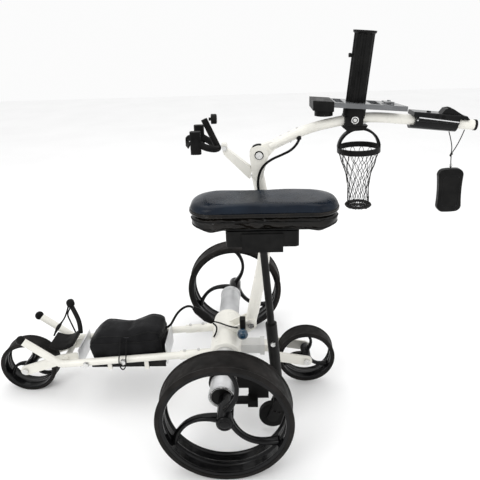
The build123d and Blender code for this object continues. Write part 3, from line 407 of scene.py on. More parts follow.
smoke = Finish("smoky_clear_plastic", 0.2, Transmission_Weight=0.45, IOR=1.46)
smoke.colour(smoke.noise(9.0, 2.0), (0.15, 0.155, 0.16), (0.24, 0.245, 0.255), 0.3, 0.72)
smoke.roughness(smoke.noise(24.0, 3.0), 0.26, 0.12)
smoke.bump(smoke.noise(40.0, 2.0), 0.04, 0.0005)
finishes["smoke_plastic"] = smoke.material

teal = Finish("deep_teal_plastic", 0.12, Coat_Weight=0.6, Coat_Roughness=0.05)
teal.colour(teal.noise(90.0, 3.0), (0.002, 0.012, 0.030), (0.006, 0.045, 0.085))
teal.bump(teal.noise(500.0), 0.05, 0.0003)
finishes["teal_gloss"] = teal.material

casing = Finish("battery_case_plastic", 0.45)
casing.colour(casing.noise(40.0), (0.03, 0.03, 0.036), (0.06, 0.06, 0.07))
casing.bump(casing.cells(900.0), 0.2, 0.0003)
finishes["battery_case"] = casing.material

board = Finish("circuit_board_green", 0.4)
board.colour(board.cells(260.0), (0.02, 0.10, 0.04), (0.04, 0.18, 0.08))
board.bump(board.cells(260.0), 0.4, 0.0004)
finishes["board_green"] = board.material
print("plastics made")

# %% [markdown]
# ### Cloth, vinyl and cord
# The battery bag is coated nylon: two crossed waves make its weave. The seat is glossy vinyl
# with a pebbled grain, which is a field of small cells. The elastic cords get the same weave,
# coarser and deeper. Sheen would lighten the nylon at grazing angles, as lint does.

# %% Nylon, vinyl, elastic and thread
def woven(name, dark, pale, rough, threads, depth=0.0003):
    cloth = Finish(name, rough, Sheen_Weight=0.01, Sheen_Roughness=0.4, Specular_IOR_Level=0.08)
    along = cloth.wave(threads, "X")
    over = cloth.wave(threads, "Y")
    up = cloth.wave(threads, "Z")
    weave = cloth.sum(cloth.sum(along, over, "MULTIPLY"), up)
    cloth.colour(cloth.noise(30.0, 5.0), dark, pale)
    cloth.roughness(cloth.noise(120.0, 3.0), rough - 0.1, rough + 0.1)
    cloth.bump(cloth.noise(60.0, 4.0), 0.15, 0.001)
    cloth.bump(weave, 0.3, depth)
    return cloth.material


finishes["bag_nylon"] = woven("coated_nylon", (0.004, 0.004, 0.0045), (0.012, 0.012, 0.013), 0.48, 330.0)
elastic_dark, elastic_light = (0.006, 0.006, 0.006), (0.016, 0.016, 0.016)
finishes["elastic"] = woven("braided_elastic", elastic_dark, elastic_light, 0.6, 260.0, 0.0005)
finishes["net_cord"] = woven("twisted_thread", (0.012, 0.012, 0.012), (0.035, 0.034, 0.032), 0.7, 700.0)

vinyl = Finish("navy_vinyl", 0.2, Specular_IOR_Level=0.16)
vinyl.colour(vinyl.noise(16.0, 5.0), (0.003, 0.006, 0.012), (0.007, 0.013, 0.023), 0.35, 0.7)
vinyl.roughness(vinyl.noise(45.0, 5.0), 0.32, 0.18)
vinyl.bump(vinyl.noise(30.0, 2.0), 0.08, 0.002)
vinyl.bump(vinyl.cells(620.0), 0.22, 0.0003)
finishes["seat_vinyl"] = vinyl.material

wet = Finish("glossy_black_vinyl", 0.14, Specular_IOR_Level=0.22)
wet.colour(wet.noise(20.0, 4.0), (0.003, 0.0028, 0.0025), (0.010, 0.008, 0.006), 0.35, 0.7)
wet.roughness(wet.noise(60.0, 4.0), 0.2, 0.08)
wet.bump(wet.noise(70.0, 4.0, wet.stretched(1.0, 1.0, 2.2)), 0.35, 0.004)
wet.bump(wet.cells(800.0), 0.12, 0.0002)
print("finishes:", sorted(finishes))

# %% [markdown]
# ## Finish the ready-made parts
# The drawn parts whose shape is already right only need their finish. Each one carries the
# record's slot name, so a loop can hand out the finishes and none is forgotten.

# %% Paint every drawn part
for name, part in nodes.items():
    part.data.materials.clear()
    part.data.materials.append(finishes[slot_of[name]])
print(len(nodes), "drawn parts painted")

# %% [markdown]
# ## Wheels
# Each wheel is three mouldings: a rubber hoop with a swept tread, a deep polished barrel, and
# three thin spokes that bow like a pinwheel around a long hub. The tread could be a bump in
# the material, but grooves that show on the outline have to be cut in the mesh. So the tyre
# is a fine grid turned about the axle, whose radius drops wherever a groove runs.

# %% Tyres with moulded tread
def groove_depth(around, across, spacing, sweep, groove_half):
    """How deep the tread is cut, 0 to 1, at a place around and across (-1 to 1) the tread."""
    bend = sweep * abs(across) ** 1.7
    slope = max(1.0, sweep * 1.7 * abs(across) ** 0.7)
    offset = (around - bend) % spacing
    beside = min(offset, spacing - offset) / math.hypot(1.0, slope * TREAD_SLANT)
    cut = max(0.0, 1.0 - beside / groove_half)
    edge = max(0.0, 1.0 - abs(abs(across) - 0.55) / 0.035)
    fade = 1.0 if abs(across) < 0.86 else max(0.0, (0.96 - abs(across)) / 0.1)
    return min(1.0, max(cut, 0.7 * edge)) * fade


TREAD_SLANT = 12.0
SHOULDER_SHARE = 0.42


def treaded_tyre(name, node, body, blocks, groove, steps, across_steps):
    """A tyre in the place of its drawn one, with the given number of tread blocks round it."""
    low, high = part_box(node)
    centre = (low + high) / 2
    radius = (high.z - low.z) / 2
    half = (high.y - low.y) / 2
    depth = radius - inner_radius(node, centre)
    shoulder = depth * SHOULDER_SHARE
    profile = [(radius - depth, -half * 0.97, 0.0), (radius - shoulder, -half, 0.0)]
    for step in range(1, 6):
        turn = math.pi / 2 * step / 6
        profile.append(
            (radius - shoulder * (1 - math.sin(turn)), -half + shoulder * (1 - math.cos(turn)), 0.0)
        )
    flat = half - shoulder
    for step in range(across_steps + 1):
        across = -1 + 2 * step / across_steps
        crown = half * 0.03 * across**2
        profile.append((radius - crown, across * flat, across))
    for r, y, across in reversed(profile[: len(profile) - across_steps - 1]):
        profile.append((r, -y, across))
    verts = []
    spacing = 2 * math.pi / blocks
    for step in range(steps):
        around = 2 * math.pi * step / steps
        for r, y, across in profile:
            cut = 0.0
            if abs(y) < flat:
                cut = groove * groove_depth(around, across, spacing, spacing * 1.1, spacing * 0.15)
            r -= cut
            verts.append(centre + Vector((math.cos(around) * r, y, math.sin(around) * r)))
    tyre = keep(name, verts, ring_faces(steps, len(profile), closed=True), 50.0)
    finish_piece(tyre, body, slot_of[node], finishes[slot_of[node]], node)
    print(name, "radius", round(radius, 4), "width", round(2 * half, 4), "vertices", len(verts))


def inner_radius(node, centre):
    """The least distance of a drawn part's points from a line along Y through centre."""
    points = (vertex.co - centre for vertex in nodes[node].data.vertices)
    return min(math.hypot(point.x, point.z) for point in points)


rear_steps, small_steps = ((720, 420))
for side in ("left", "right"):
    treaded_tyre("tread_" + side, "tyre_" + side, "wheel_" + side, 20, 0.0024, rear_steps, 44)
for name in ("front", "antitip"):
    treaded_tyre("tread_" + name, name + "_tyre", name + "_wheel", 16, 0.0016, small_steps, 32)

# %% [markdown]
# The barrel is a hoop with rolled lips and a raised ridge round its middle. The spokes are
# thickest where they leave the hub and where they meet the barrel, and thin between, which
# is how a moulder keeps them strong without sink marks. The hub ends in a domed cap.

# %% Rims with bowed spokes and domed hubs
SPOKES = 3
SPOKE_BOW = 0.21


def spoke_path(centre, turn, start, reach, steps=20):
    """An arc that leaves the hub at a turn and bows to one side on its way out."""
    out = Vector((math.cos(turn), 0, math.sin(turn)))
    side = Vector((out.z, 0, -out.x))
    path = []
    for step in range(steps + 1):
        share = step / steps
        place = out * (start + (reach - start) * share)
        path.append(centre + place + side * (reach * SPOKE_BOW * 4 * share * (1 - share)))
    return path


def spoked_rim(name, node, body, outer, half, hub, hub_span, first_turn, spoke_size):
    """A barrel, bowed spokes and a hub as one moulding, in the place of the drawn rim."""
    low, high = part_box(node)
    centre = Vector(((low.x + high.x) / 2, joint_y(body), (low.z + high.z) / 2))
    wall = outer * 0.036
    lip = wall * 0.55
    profile = [
        (outer, -half + lip), (outer + lip * 0.4, -half), (outer - wall - lip, -half),
        (outer - wall - lip * 1.3, -half + lip * 0.8), (outer - wall - lip, -half + lip * 1.8),
        (outer - wall, -half + lip * 2.6), (outer - wall, -half * 0.24), (outer - wall * 1.25, -half * 0.2),
        (outer - wall * 1.5, -half * 0.15), (outer - wall * 1.55, 0.0),
    ]
    profile += [(radius, -along) for radius, along in reversed(profile[:-1])]
    verts, faces = [], []
    steps = 160
    for step in range(steps):
        angle = 2 * math.pi * step / steps
        for radius, along in profile:
            verts.append(centre + Vector((math.cos(angle) * radius, along, math.sin(angle) * radius)))
    faces = ring_faces(steps, len(profile), closed=True)
    wide, deep = spoke_size
    for number in range(SPOKES):
        turn = first_turn + 2 * math.pi * number / SPOKES
        path = spoke_path(centre, turn, hub * 0.6, outer - wall * 1.1)
        sections = []
        for step in range(len(path)):
            share = step / (len(path) - 1)
            swell = 1.0 + 0.55 * (1 - share) ** 5 + 0.5 * share**7
            sections.append((wide / 2 * swell, deep / 2 * swell))
        add_to(verts, faces, *swept(path, sections, 20, 0.7))
    near, far = hub_span
    way = 1 if far > near else -1
    hub_profile = [
        (hub * 0.42, near), (hub * 0.86, near), (hub * 0.94, near + way * hub * 0.08),
        (hub * 0.94, near + (far - near) * 0.22), (hub, near + (far - near) * 0.26),
        (hub, far - way * hub * 0.34), (hub * 0.96, far - way * hub * 0.2),
        (hub * 0.84, far - way * hub * 0.07), (hub * 0.66, far - way * hub * 0.01),
        (hub * 0.6, far - way * hub * 0.05), (hub * 0.56, far), (hub * 0.3, far + way * hub * 0.06),
        (0.0005, far + way * hub * 0.08), (0.0005, far - way * hub * 0.3),
        (hub * 0.42, far - way * hub * 0.3),
    ]
    hub_verts = []
    hub_steps = 48
    for step in range(hub_steps):
        angle = 2 * math.pi * step / hub_steps
        for radius, along in hub_profile:
            spoke = Vector((math.cos(angle) * radius, along - centre.y, math.sin(angle) * radius))
            hub_verts.append(centre + spoke)
    add_to(verts, faces, hub_verts, ring_faces(hub_steps, len(hub_profile), closed=True))
    rim = keep(name, verts, faces, 40.0)
    finish_piece(rim, body, slot_of[node], finishes[slot_of[node]], node)
    print(name, "outer radius", round(outer, 4), "spokes", SPOKES)


def joint_y(body):
    """The Y of the joint that a wheel turns on."""
    return next(joint["pos_m"][1] for joint in frame["joints"] if joint["child"] == body)


for side, way in (("left", -1), ("right", 1)):
    low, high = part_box("rim_" + side)
    hub_span = (high.y, low.y) if way < 0 else (low.y, high.y)
    outer = (high.z - low.z) / 2 - 0.0003
    tyre_low, tyre_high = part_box("tyre_" + side)
    half = (tyre_high.y - tyre_low.y) / 2 - 0.002
    spoked_rim(
        "rim_" + side + "_moulding", "rim_" + side, "wheel_" + side, outer, half, 0.020,
        (hub_span[0], hub_span[1] - way * 0.0016), math.radians(90), (0.0105, 0.017),
    )
for name in ("front", "antitip"):
    low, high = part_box(name + "_rim")
    spoked_rim(
        name + "_rim_moulding", name + "_rim", name + "_wheel", (high.z - low.z) / 2 - 0.0003, 0.0225, 0.0135,
        (low.y, high.y), math.radians(90), (0.008, 0.013),
    )

# %% [markdown]
# ## Padded pieces
# A seat cushion is foam pulled tight by its cover: its faces are crowned and its sides draw in
# at the seams. Sculpting that by hand is slow, so a cloth simulation with a little air pressure
# does it. The piece starts slightly small as an even skin, the pressure swells it, and a cap
# on how far each point may travel keeps it inside its place. Seams and piping come afterwards,
# laid onto the swollen skin.

# %% Swell a skin with air pressure
def swollen(name, verts, faces, voxel, pressure, cap, frames=20):
    """A closed form remeshed to an even skin and blown up, no point moving further than cap."""
    piece = keep(name, verts, faces, 180.0)
    remesh = piece.modifiers.new("even_skin", "REMESH")
    remesh.mode = "VOXEL"
    remesh.voxel_size = voxel
    apply_modifiers(piece)
    rest = [vertex.co.copy() for vertex in piece.data.vertices]
    cloth = piece.modifiers.new("air", "CLOTH")
    cloth.settings.use_pressure = True
    cloth.settings.uniform_pressure_force = pressure
    cloth.settings.effector_weights.gravity = 0.0
    cloth.settings.quality = 5
    cloth.settings.tension_stiffness = 30.0
    cloth.settings.bending_stiffness = 2.0
    cloth.point_cache.frame_end = frames
    for number in range(1, frames + 1):
        bpy.context.scene.frame_set(number)
    apply_modifiers(piece)
    bpy.context.scene.frame_set(1)
    for vertex, start in zip(piece.data.vertices, rest):
        moved = vertex.co - start
        if moved.length > cap:
            vertex.co = start + moved * (cap / moved.length)
    for _ in range(2):
        relax(piece)
    finer = piece.modifiers.new("finer", "SUBSURF")
    finer.levels = 1
    apply_modifiers(piece)
    piece.data.polygons.foreach_set("use_smooth", [True] * len(piece.data.polygons))
    print(name, "vertices", len(piece.data.vertices))
    return piece


def apply_modifiers(piece):
    """Writes a piece's modifiers into its mesh."""
    shaped = piece.evaluated_get(bpy.context.evaluated_depsgraph_get())
    mesh = bpy.data.meshes.new_from_object(shaped)
    piece.modifiers.clear()
    old = piece.data
    piece.data = mesh
    bpy.data.meshes.remove(old)


def relax(piece):
    """Moves each point halfway to the middle of its neighbours."""
    made = bmesh.new()
    made.from_mesh(piece.data)
    axes = {"use_axis_x": True, "use_axis_y": True, "use_axis_z": True}
    bmesh.ops.smooth_vert(made, verts=made.verts, factor=0.5, **axes)
    made.to_mesh(piece.data)
    made.free()


def skin_of(piece):
    """A tree for laying seams onto a piece's surface."""
    made = bmesh.new()
    made.from_mesh(piece.data)
    tree = BVHTree.FromBMesh(made)
    made.free()
    return tree


def slab(outline, bottom, top, edge):
    """A closed slab over an (x, y) outline, its rims drawn in by edge."""
    middle = Vector((sum(p[0] for p in outline), sum(p[1] for p in outline))) / len(outline)
    verts = []
    layers = ((bottom, 1.0), (bottom + edge, 0.0), (top - edge, 0.0), (top, 1.0))
    for height, inward in layers:
        for place in outline:
            place = Vector(place)
            pull = (middle - place).normalized() * (edge * inward)
            verts.append(Vector((place.x + pull.x, place.y + pull.y, height)))
    return verts, ring_faces(len(layers), len(outline))


def rounded_outline(low, high, radius, steps=12):
    """The (x, y) outline of a rectangle with round corners."""
    outline = []
    for number, (x, y) in enumerate(((high.x, high.y), (low.x, high.y), (low.x, low.y), (high.x, low.y))):
        centre = Vector((x - math.copysign(radius, x - (low.x + high.x) / 2),
                         y - math.copysign(radius, y - (low.y + high.y) / 2)))
        for step in range(steps + 1):
            angle = math.pi / 2 * (number + step / steps)
            outline.append((centre.x + radius * math.cos(angle), centre.y + radius * math.sin(angle)))
    return outline


def laid_on(tree, path, lift):
    """A path moved onto a skin, lift metres proud of it."""
    placed = []
    for point in path:
        spot, normal, _, _ = tree.find_nearest(point)
        placed.append(spot + normal * lift)
    return placed


def piping(verts, faces, path, radius, closed=True, sides=8):
    """Adds a thin round bead along a path."""
    count = len(path)
    rings = []
    for index, place in enumerate(path):
        before = path[(index - 1) % count] if closed else path[max(index - 1, 0)]
        after = path[(index + 1) % count] if closed else path[min(index + 1, count - 1)]
        ahead = (after - before).normalized()
        wide = ahead.orthogonal().normalized() if not rings else rings[-1].cross(ahead).cross(ahead) * -1
        wide = wide.normalized()
        rings.append(wide)
        deep = ahead.cross(wide)
        for side in range(sides):
            angle = 2 * math.pi * side / sides
            verts.append(place + (wide * math.cos(angle) + deep * math.sin(angle)) * radius)
    start = len(verts) - count * sides
    ring = ring_faces(count, sides, closed=closed)
    faces.extend(tuple(start + index for index in face) for face in ring)


print("padding helpers ready")

# %% [markdown]
# ### The seat
# The cushion is a long pad with full round ends, covered in navy vinyl, with two rows of black
# piping round its foot. Under it hangs a zipped pouch of thinner
# vinyl, whose front sags in shiny creases. The creases are pushed into the skin afterwards
# with stretched noise, because a simulation fine enough to fold them would take minutes.

# %% Cushion with piped seams
CUSHION_CORNER = 0.058
SKIN_INSET = Vector((0.0015, 0.0015, 0.0))
low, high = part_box("seat_cushion")
cushion_outline = rounded_outline(low + SKIN_INSET, high - SKIN_INSET, CUSHION_CORNER)
cushion_form = slab(cushion_outline, low.z + 0.0005, high.z - 0.001, 0.011)
cushion = swollen("cushion_pad", *cushion_form, 0.005, 2.5, 0.004)
for vertex in cushion.data.vertices:
    share = (vertex.co.z - low.z) / (high.z - low.z)
    ripple = noise.noise(Vector((vertex.co.x * 14, vertex.co.y * 9, 3.7)))
    vertex.co.z += 0.0018 * ripple * max(0.0, share)
    vertex.co.z = max(vertex.co.z, low.z)
finish_piece(cushion, "seat", "seat_vinyl", finishes["seat_vinyl"], "seat_cushion")
print("cushion top at", round(max(v.co.z for v in cushion.data.vertices), 4))

# %% Piping round the cushion
cushion_skin = skin_of(cushion)
seam_verts, seam_faces = [], []
wide_outline = rounded_outline(low, high, CUSHION_CORNER + 0.004, 16)
for height, radius in ((low.z + 0.0105, 0.0022), (low.z + 0.0045, 0.0040)):
    path = laid_on(cushion_skin, [Vector((x, y, height)) for x, y in wide_outline], radius * 0.2)
    piping(seam_verts, seam_faces, path, radius)
cushion_piping = keep("cushion_piping", seam_verts, seam_faces, 60.0)
finish_piece(cushion_piping, "seat", "seat_vinyl", wet.material)
print("piping vertices", len(seam_verts))

# %% Pouch under the cushion
def creased(point, low, high):
    """How far a point of the pouch is pushed out or in by its creases."""
    along = (point.x - low.x) / (high.x - low.x)
    front = max(0.0, 1.0 - (point.y - low.y) / 0.03)
    loose = 0.35 + 0.65 * math.exp(-(((along - 0.3) / 0.22) ** 2))
    slanted = Vector((point.x * 34 + point.z * 46, point.y * 6, point.z * 70 - point.x * 8))
    fold = noise.noise(slanted) + 0.5 * noise.noise(slanted * 2.3)
    return 0.0060 * front * loose * fold - 0.002 * front * (1 - loose) * abs(fold)


low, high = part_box("seat_pocket")
pouch_outline = rounded_outline(low + SKIN_INSET, high - SKIN_INSET, 0.055)
pouch_form = slab(pouch_outline, low.z + 0.004, high.z + 0.0015, 0.006)
pouch = swollen("seat_pouch", *pouch_form, 0.004, 3.0, 0.004)
for vertex in pouch.data.vertices:
    ends = abs((vertex.co.x - (low.x + high.x) / 2) / ((high.x - low.x) / 2))
    vertex.co.y -= creased(vertex.co, low, high)
    if vertex.co.z < (low.z + high.z) / 2:
        sag = 0.007 * math.exp(-(((ends - 0.72) / 0.14) ** 2))
        vertex.co.z -= sag
finish_piece(pouch, "seat", "seat_vinyl", wet.material, "seat_pocket")
print("pouch bottom at", round(min(v.co.z for v in pouch.data.vertices), 4))

# %% Zip and welt of the pouch
pouch_skin = skin_of(pouch)
zip_verts, zip_faces = [], []
front_outline = rounded_outline(low, high, 0.05, 16)
zip_height = high.z - 0.006
zip_line = [Vector((x, y, zip_height)) for x, y in front_outline if y < low.y + 0.05]
zip_line = laid_on(pouch_skin, sorted(zip_line, key=lambda p: p.x), 0.0004)
piping(zip_verts, zip_faces, zip_line, 0.0014, closed=False)
welt = laid_on(pouch_skin, [Vector((x, y, low.z + 0.004)) for x, y in front_outline], 0.0005)
piping(zip_verts, zip_faces, welt, 0.0016)
pouch_zip = keep("pouch_zip_and_welt", zip_verts, zip_faces, 60.0)
finish_piece(pouch_zip, "seat", "seat_vinyl", finishes["elastic"])
print("zip points", len(zip_line))

# %% [markdown]
# ### The battery bag
# The battery rides in a soft nylon case. Its top slopes down towards the front wheel, its
# corners are stitched round, and a seam runs along its side where the lid zips shut. The shape
# starts from the case's side outline, is swollen slightly, and then gets its seams.

# %% Soft case
low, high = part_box("battery_bag")
case_inset = 0.002
top = high.z
outline = [
    (low.x + 0.013, low.z + 0.003), (low.x + 0.008, low.z + 0.016), (low.x, low.z + 0.052),
    (low.x + 0.003, low.z + 0.064), (low.x + 0.018, top - 0.024), (low.x + 0.028, top - 0.017),
    (low.x + 0.045, top - 0.015), (low.x + 0.115, top - 0.0155), (low.x + 0.15, top - 0.008),
    (high.x - 0.038, top), (high.x - 0.012, top - 0.006), (high.x - 0.004, top - 0.014),
    (high.x, low.z + 0.058), (high.x - 0.001, low.z + 0.006),
]
case_verts = []
stations = (
    (low.y + 0.002, 0.016), (low.y + 0.008, 0.006), (low.y + 0.022, 0.0),
    (high.y - 0.022, 0.0), (high.y - 0.008, 0.006), (high.y - 0.002, 0.016),
)
middle = Vector(((low.x + high.x) / 2, 0, (low.z + high.z) / 2))
for y, inward in stations:
    for x, z in outline:
        place = Vector((x, 0, z))
        drawn_in = inward if z > middle.z else 0.3 * inward
        place += (middle - place).normalized() * (drawn_in + case_inset)
        case_verts.append(Vector((place.x, y, place.z)))
bag = swollen("battery_case_cloth", case_verts, ring_faces(6, len(outline)), 0.0045, 2.0, 0.003)
for vertex in bag.data.vertices:
    point = vertex.co
    wrinkle = noise.noise(Vector((point.x * 26, point.y * 12, point.z * 40)))
    side = 1.0 if abs(point.y) > high.y - 0.012 else 0.4
    vertex.co += vertex.normal * (0.0016 * wrinkle * side)
    vertex.co.z = max(vertex.co.z, low.z)
finish_piece(bag, "chassis", "bag_nylon", finishes["bag_nylon"], "battery_bag")
print("bag spans", [round(value, 3) for value in (*low, *high)])

# %% Seams and lid zip of the case
bag_skin = skin_of(bag)
seam_verts, seam_faces = [], []
for side in (-1, 1):
    corners = [Vector((x, side * high.y, z)) for x, z in outline]
    dense = []
    for here, there in zip(corners, corners[1:] + corners[:1]):
        dense += [here.lerp(there, step / 5) for step in range(5)]
    piping(seam_verts, seam_faces, laid_on(bag_skin, dense, 0.0004), 0.0016)
lid_height = low.z + 0.062
lid = []
for x, y in rounded_outline(low, high, 0.012, 6):
    lid.append(Vector((x, y, lid_height + 0.012 * (x - low.x) / (high.x - low.x))))
dense = []
for here, there in zip(lid, lid[1:] + lid[:1]):
    parts = max(1, int((there - here).length / 0.006))
    dense += [here.lerp(there, step / parts) for step in range(parts)]
piping(seam_verts, seam_faces, laid_on(bag_skin, dense, 0.0003), 0.0015)
bag_seams = keep("battery_case_seams", seam_verts, seam_faces, 60.0)
finish_piece(bag_seams, "chassis", "bag_nylon", finishes["elastic"])
print("seam vertices", len(seam_verts))

# %% [markdown]
# ## Cords, cables and straps
# Every cable is a smooth line given a round section. The line is a NURBS curve through the
# route's corners, read back as points, so that one mesh can hold several cables. Flat straps
# use the same lines with a wide section. A particle or rope simulation would make them sag
# too, but none of these hangs free.

# %% Cables along smooth lines
def line_points(points):
    """The points of the smooth line that a route makes."""
    line = smooth_line("route", points, 0.0)
    mesh = bpy.data.meshes.new_from_object(line)
    path = [vertex.co.copy() for vertex in mesh.vertices]
    bpy.data.objects.remove(line)
    return path


def cables(name, body, node, *routes):
    """One mesh of round cables, each a route and a radius, in the place of a drawn node."""
    verts, faces = [], []
    for points, radius in routes:
        piping(verts, faces, line_points(points), radius, closed=False, sides=12)
    piece = keep(name, verts, faces, 60.0)
    return finish_piece(piece, body, slot_of[node], finishes[slot_of[node]], node)


battery_route = (
    (-0.1883, 0.0, 0.196), (-0.174, 0.0, 0.204), (-0.164, 0.0, 0.223), (-0.150, 0.0, 0.247),
    (-0.131, 0.0, 0.264), (-0.113, 0.0, 0.269), (-0.1053, 0.0, 0.2631),
)
motor_route = (
    (-0.0498, -0.004, 0.212), (-0.041, -0.012, 0.211), (-0.037, -0.024, 0.208),
    (-0.039, -0.036, 0.201), (-0.046, -0.042, 0.192),
)
latch_route = (
    (-0.0498, 0.004, 0.2125), (-0.034, 0.002, 0.211), (-0.014, -0.008, 0.208),
    (0.006, -0.022, 0.211), (0.022, -0.029, 0.213),
)
leads = cables(
    "battery_and_motor_leads", "chassis", "battery_leads",
    (battery_route, 0.0034), (motor_route, 0.0023), (latch_route, 0.0021),
)
print("leads", len(leads.data.vertices), "vertices")

# %% The handle cable
handle_route = (
    (0.193, -0.0116, 0.7449), (0.189, -0.020, 0.738), (0.174, -0.025, 0.722), (0.150, -0.027, 0.711),
    (0.123, -0.027, 0.700), (0.102, -0.026, 0.683), (0.091, -0.025, 0.660), (0.088, -0.025, 0.634),
    (0.091, -0.025, 0.610), (0.095, -0.024, 0.588), (0.098, -0.020, 0.574),
)
handle_verts, handle_faces = [], []
piping(handle_verts, handle_faces, line_points(handle_route), 0.0033, closed=False, sides=12)
handle_lead = keep("handle_lead", handle_verts, handle_faces, 60.0)
handle_lead.data.materials.append(finishes["cable_sheath"])
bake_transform(handle_lead)
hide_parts("handle_cable")

# %% Elastic straps of the cradle and the battery
def band(verts, faces, points, half_wide, half_deep, swell=None):
    """Adds a flat or swelling strap along a smooth line."""
    path = line_points(points)
    sections = []
    for index in range(len(path)):
        share = index / (len(path) - 1)
        fat = 1.0 if swell is None else swell(share)
        sections.append((half_wide * fat, half_deep * fat))
    add_to(verts, faces, *swept(path, sections, 16, 0.7))


strap_verts, strap_faces = [], []
rear_strap = (
    (-0.440, 0, 0.184), (-0.438, 0, 0.214), (-0.443, 0, 0.240), (-0.450, 0, 0.262), (-0.455, 0, 0.278),
)
band(strap_verts, strap_faces, rear_strap, 0.0066, 0.0042)
long_cord = (
    (-0.461, -0.006, 0.276), (-0.472, -0.005, 0.246), (-0.489, -0.006, 0.222), (-0.505, -0.006, 0.203),
    (-0.517, -0.006, 0.180),
)
band(
    strap_verts, strap_faces, long_cord, 0.0022, 0.0022,
    lambda share: 1.0 + 1.5 * math.exp(-(((share - 0.72) / 0.17) ** 2)),
)
cross_cord = (
    (-0.456, 0.005, 0.274), (-0.466, 0.004, 0.257), (-0.472, 0.003, 0.243), (-0.467, 0.004, 0.222),
    (-0.457, 0.004, 0.184),
)
band(strap_verts, strap_faces, cross_cord, 0.0020, 0.0020)
battery_cord = (
    (-0.308, -0.050, 0.197), (-0.308, -0.060, 0.176), (-0.310, -0.080, 0.152), (-0.309, -0.084, 0.130),
    (-0.300, -0.085, 0.117), (-0.291, -0.084, 0.130), (-0.290, -0.080, 0.152), (-0.291, -0.060, 0.176),
    (-0.291, -0.050, 0.193),
)
piping(strap_verts, strap_faces, line_points(battery_cord), 0.0017, closed=False, sides=10)
straps = keep("elastic_straps", strap_verts, strap_faces, 60.0)
finish_piece(straps, "chassis", slot_of["elastic_cords"], finishes["elastic"], "elastic_cords")

knob_verts, knob_faces = [], []
knob_path = []
for step in range(13):
    share = step / 12
    knob_path.append(Vector((-0.4555 - 0.012 * (share - 0.5) * 0.3, 0, 0.270 + 0.025 * share)))
knob_sections = []
for step in range(13):
    share = step / 12
    half = 0.0112 * math.sqrt(max(0.02, 1 - abs(2 * share - 1.05) ** 3))
    knob_sections.append((half, half))
add_to(knob_verts, knob_faces, *swept(knob_path, knob_sections, 24))
strap_knob = keep("strap_knob", knob_verts, knob_faces, 60.0)
finish_piece(strap_knob, "chassis", slot_of["elastic_cords"], finishes["black_rubber"])
print("straps and knob made")

# %% Foam pad of the cradle
pad_low, pad_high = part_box("cradle_pad")
pad_path, pad_sections = [], []
for step in range(31):
    share = step / 30
    x = pad_low.x + 0.004 + (pad_high.x - pad_low.x - 0.008) * share
    dip = 4 * (share - 0.45) ** 2
    rise = min(1.0, dip * (0.82 if share < 0.45 else 0.95))
    z = pad_low.z + 0.006 + (pad_high.z - pad_low.z - 0.012) * rise
    pad_path.append(Vector((x, 0, z)))
    end = min(share, 1 - share)
    fat = min(1.0, 0.72 + 4.0 * end)
    lump = 1.0 + 0.05 * noise.noise(Vector((x * 60, 0, 1.5)))
    pad_sections.append((0.0062 * fat * lump, (pad_high.y - pad_low.y) / 2 * (0.94 + 0.06 * fat)))
pad = keep("cradle_foam", *swept(pad_path, pad_sections, 40, 0.35), 60.0)
finish_piece(pad, "chassis", slot_of["cradle_pad"], finishes["black_rubber"], "cradle_pad")
print("foam pad", len(pad.data.vertices), "vertices")

# %% Strap of the bag bracket
strap_verts, strap_faces = [], []
bracket_line = (
    (-0.076, -0.046, 0.744), (-0.084, -0.032, 0.748), (-0.089, 0, 0.751), (-0.084, 0.032, 0.748),
    (-0.076, 0.046, 0.744),
)
band(strap_verts, strap_faces, bracket_line, 0.0080, 0.0017)
loop = []
for step in range(32):
    turn = 2 * math.pi * step / 32
    loop.append(Vector((-0.0855, -0.024 + 0.006 * math.cos(turn), 0.749 + 0.011 * math.sin(turn))))
piping(strap_verts, strap_faces, loop, 0.0018)
bracket_strap = keep("bracket_strap_and_buckle", strap_verts, strap_faces, 60.0)
finish_piece(bracket_strap, "mast", slot_of["bracket_strap"], finishes["elastic"], "bracket_strap")
print("bracket strap made")

# %% [markdown]
# ## The ball net
# The net is knotted thread that hangs from the ring, draws in to a waist and ends in a rough
# bound foot. Each thread winds down one way and crosses those that wind the other way, with a
# small knot at every crossing. Modelling real knots would cost a hundred times the mesh, and
# at this size a small bead reads the same.

# %% Threads, knots and foot
mouth = next(mount for mount in frame["record"]["mounts"] if mount["name"] == "ball_net_mouth")
net_up = Vector(mouth["axis"]).normalized()
net_side = net_up.cross(Vector((0, 1, 0))).normalized()
net_deep = net_side.cross(net_up)
mouth_at = Vector(mouth["pos_m"])
NET_DROP, NET_LENGTH = 0.012, 0.144
NET_THREADS, NET_ROWS = 13, 7
NET_RADII = ((0.0, 0.0495), (0.14, 0.0435), (0.45, 0.0305), (0.68, 0.0262), (1.0, 0.0275))


def net_radius(share):
    """The net's radius at a share of the way down, eased between stations."""
    for (low_share, low_radius), (high_share, high_radius) in zip(NET_RADII, NET_RADII[1:]):
        if share <= high_share:
            step = (share - low_share) / (high_share - low_share)
            step = step * step * (3 - 2 * step) * 0.5 + step * 0.5
            return low_radius + (high_radius - low_radius) * step
    return NET_RADII[-1][1]


def on_net(angle, share):
    """A point of the net: an angle round it and a share of the way down."""
    radius = net_radius(share) * (1 + 0.035 * noise.noise(Vector((angle * 1.4, share * 6, 4.0))))
    centre = mouth_at - net_up * (NET_DROP + NET_LENGTH * share)
    return centre + (net_side * math.cos(angle) + net_deep * math.sin(angle)) * radius


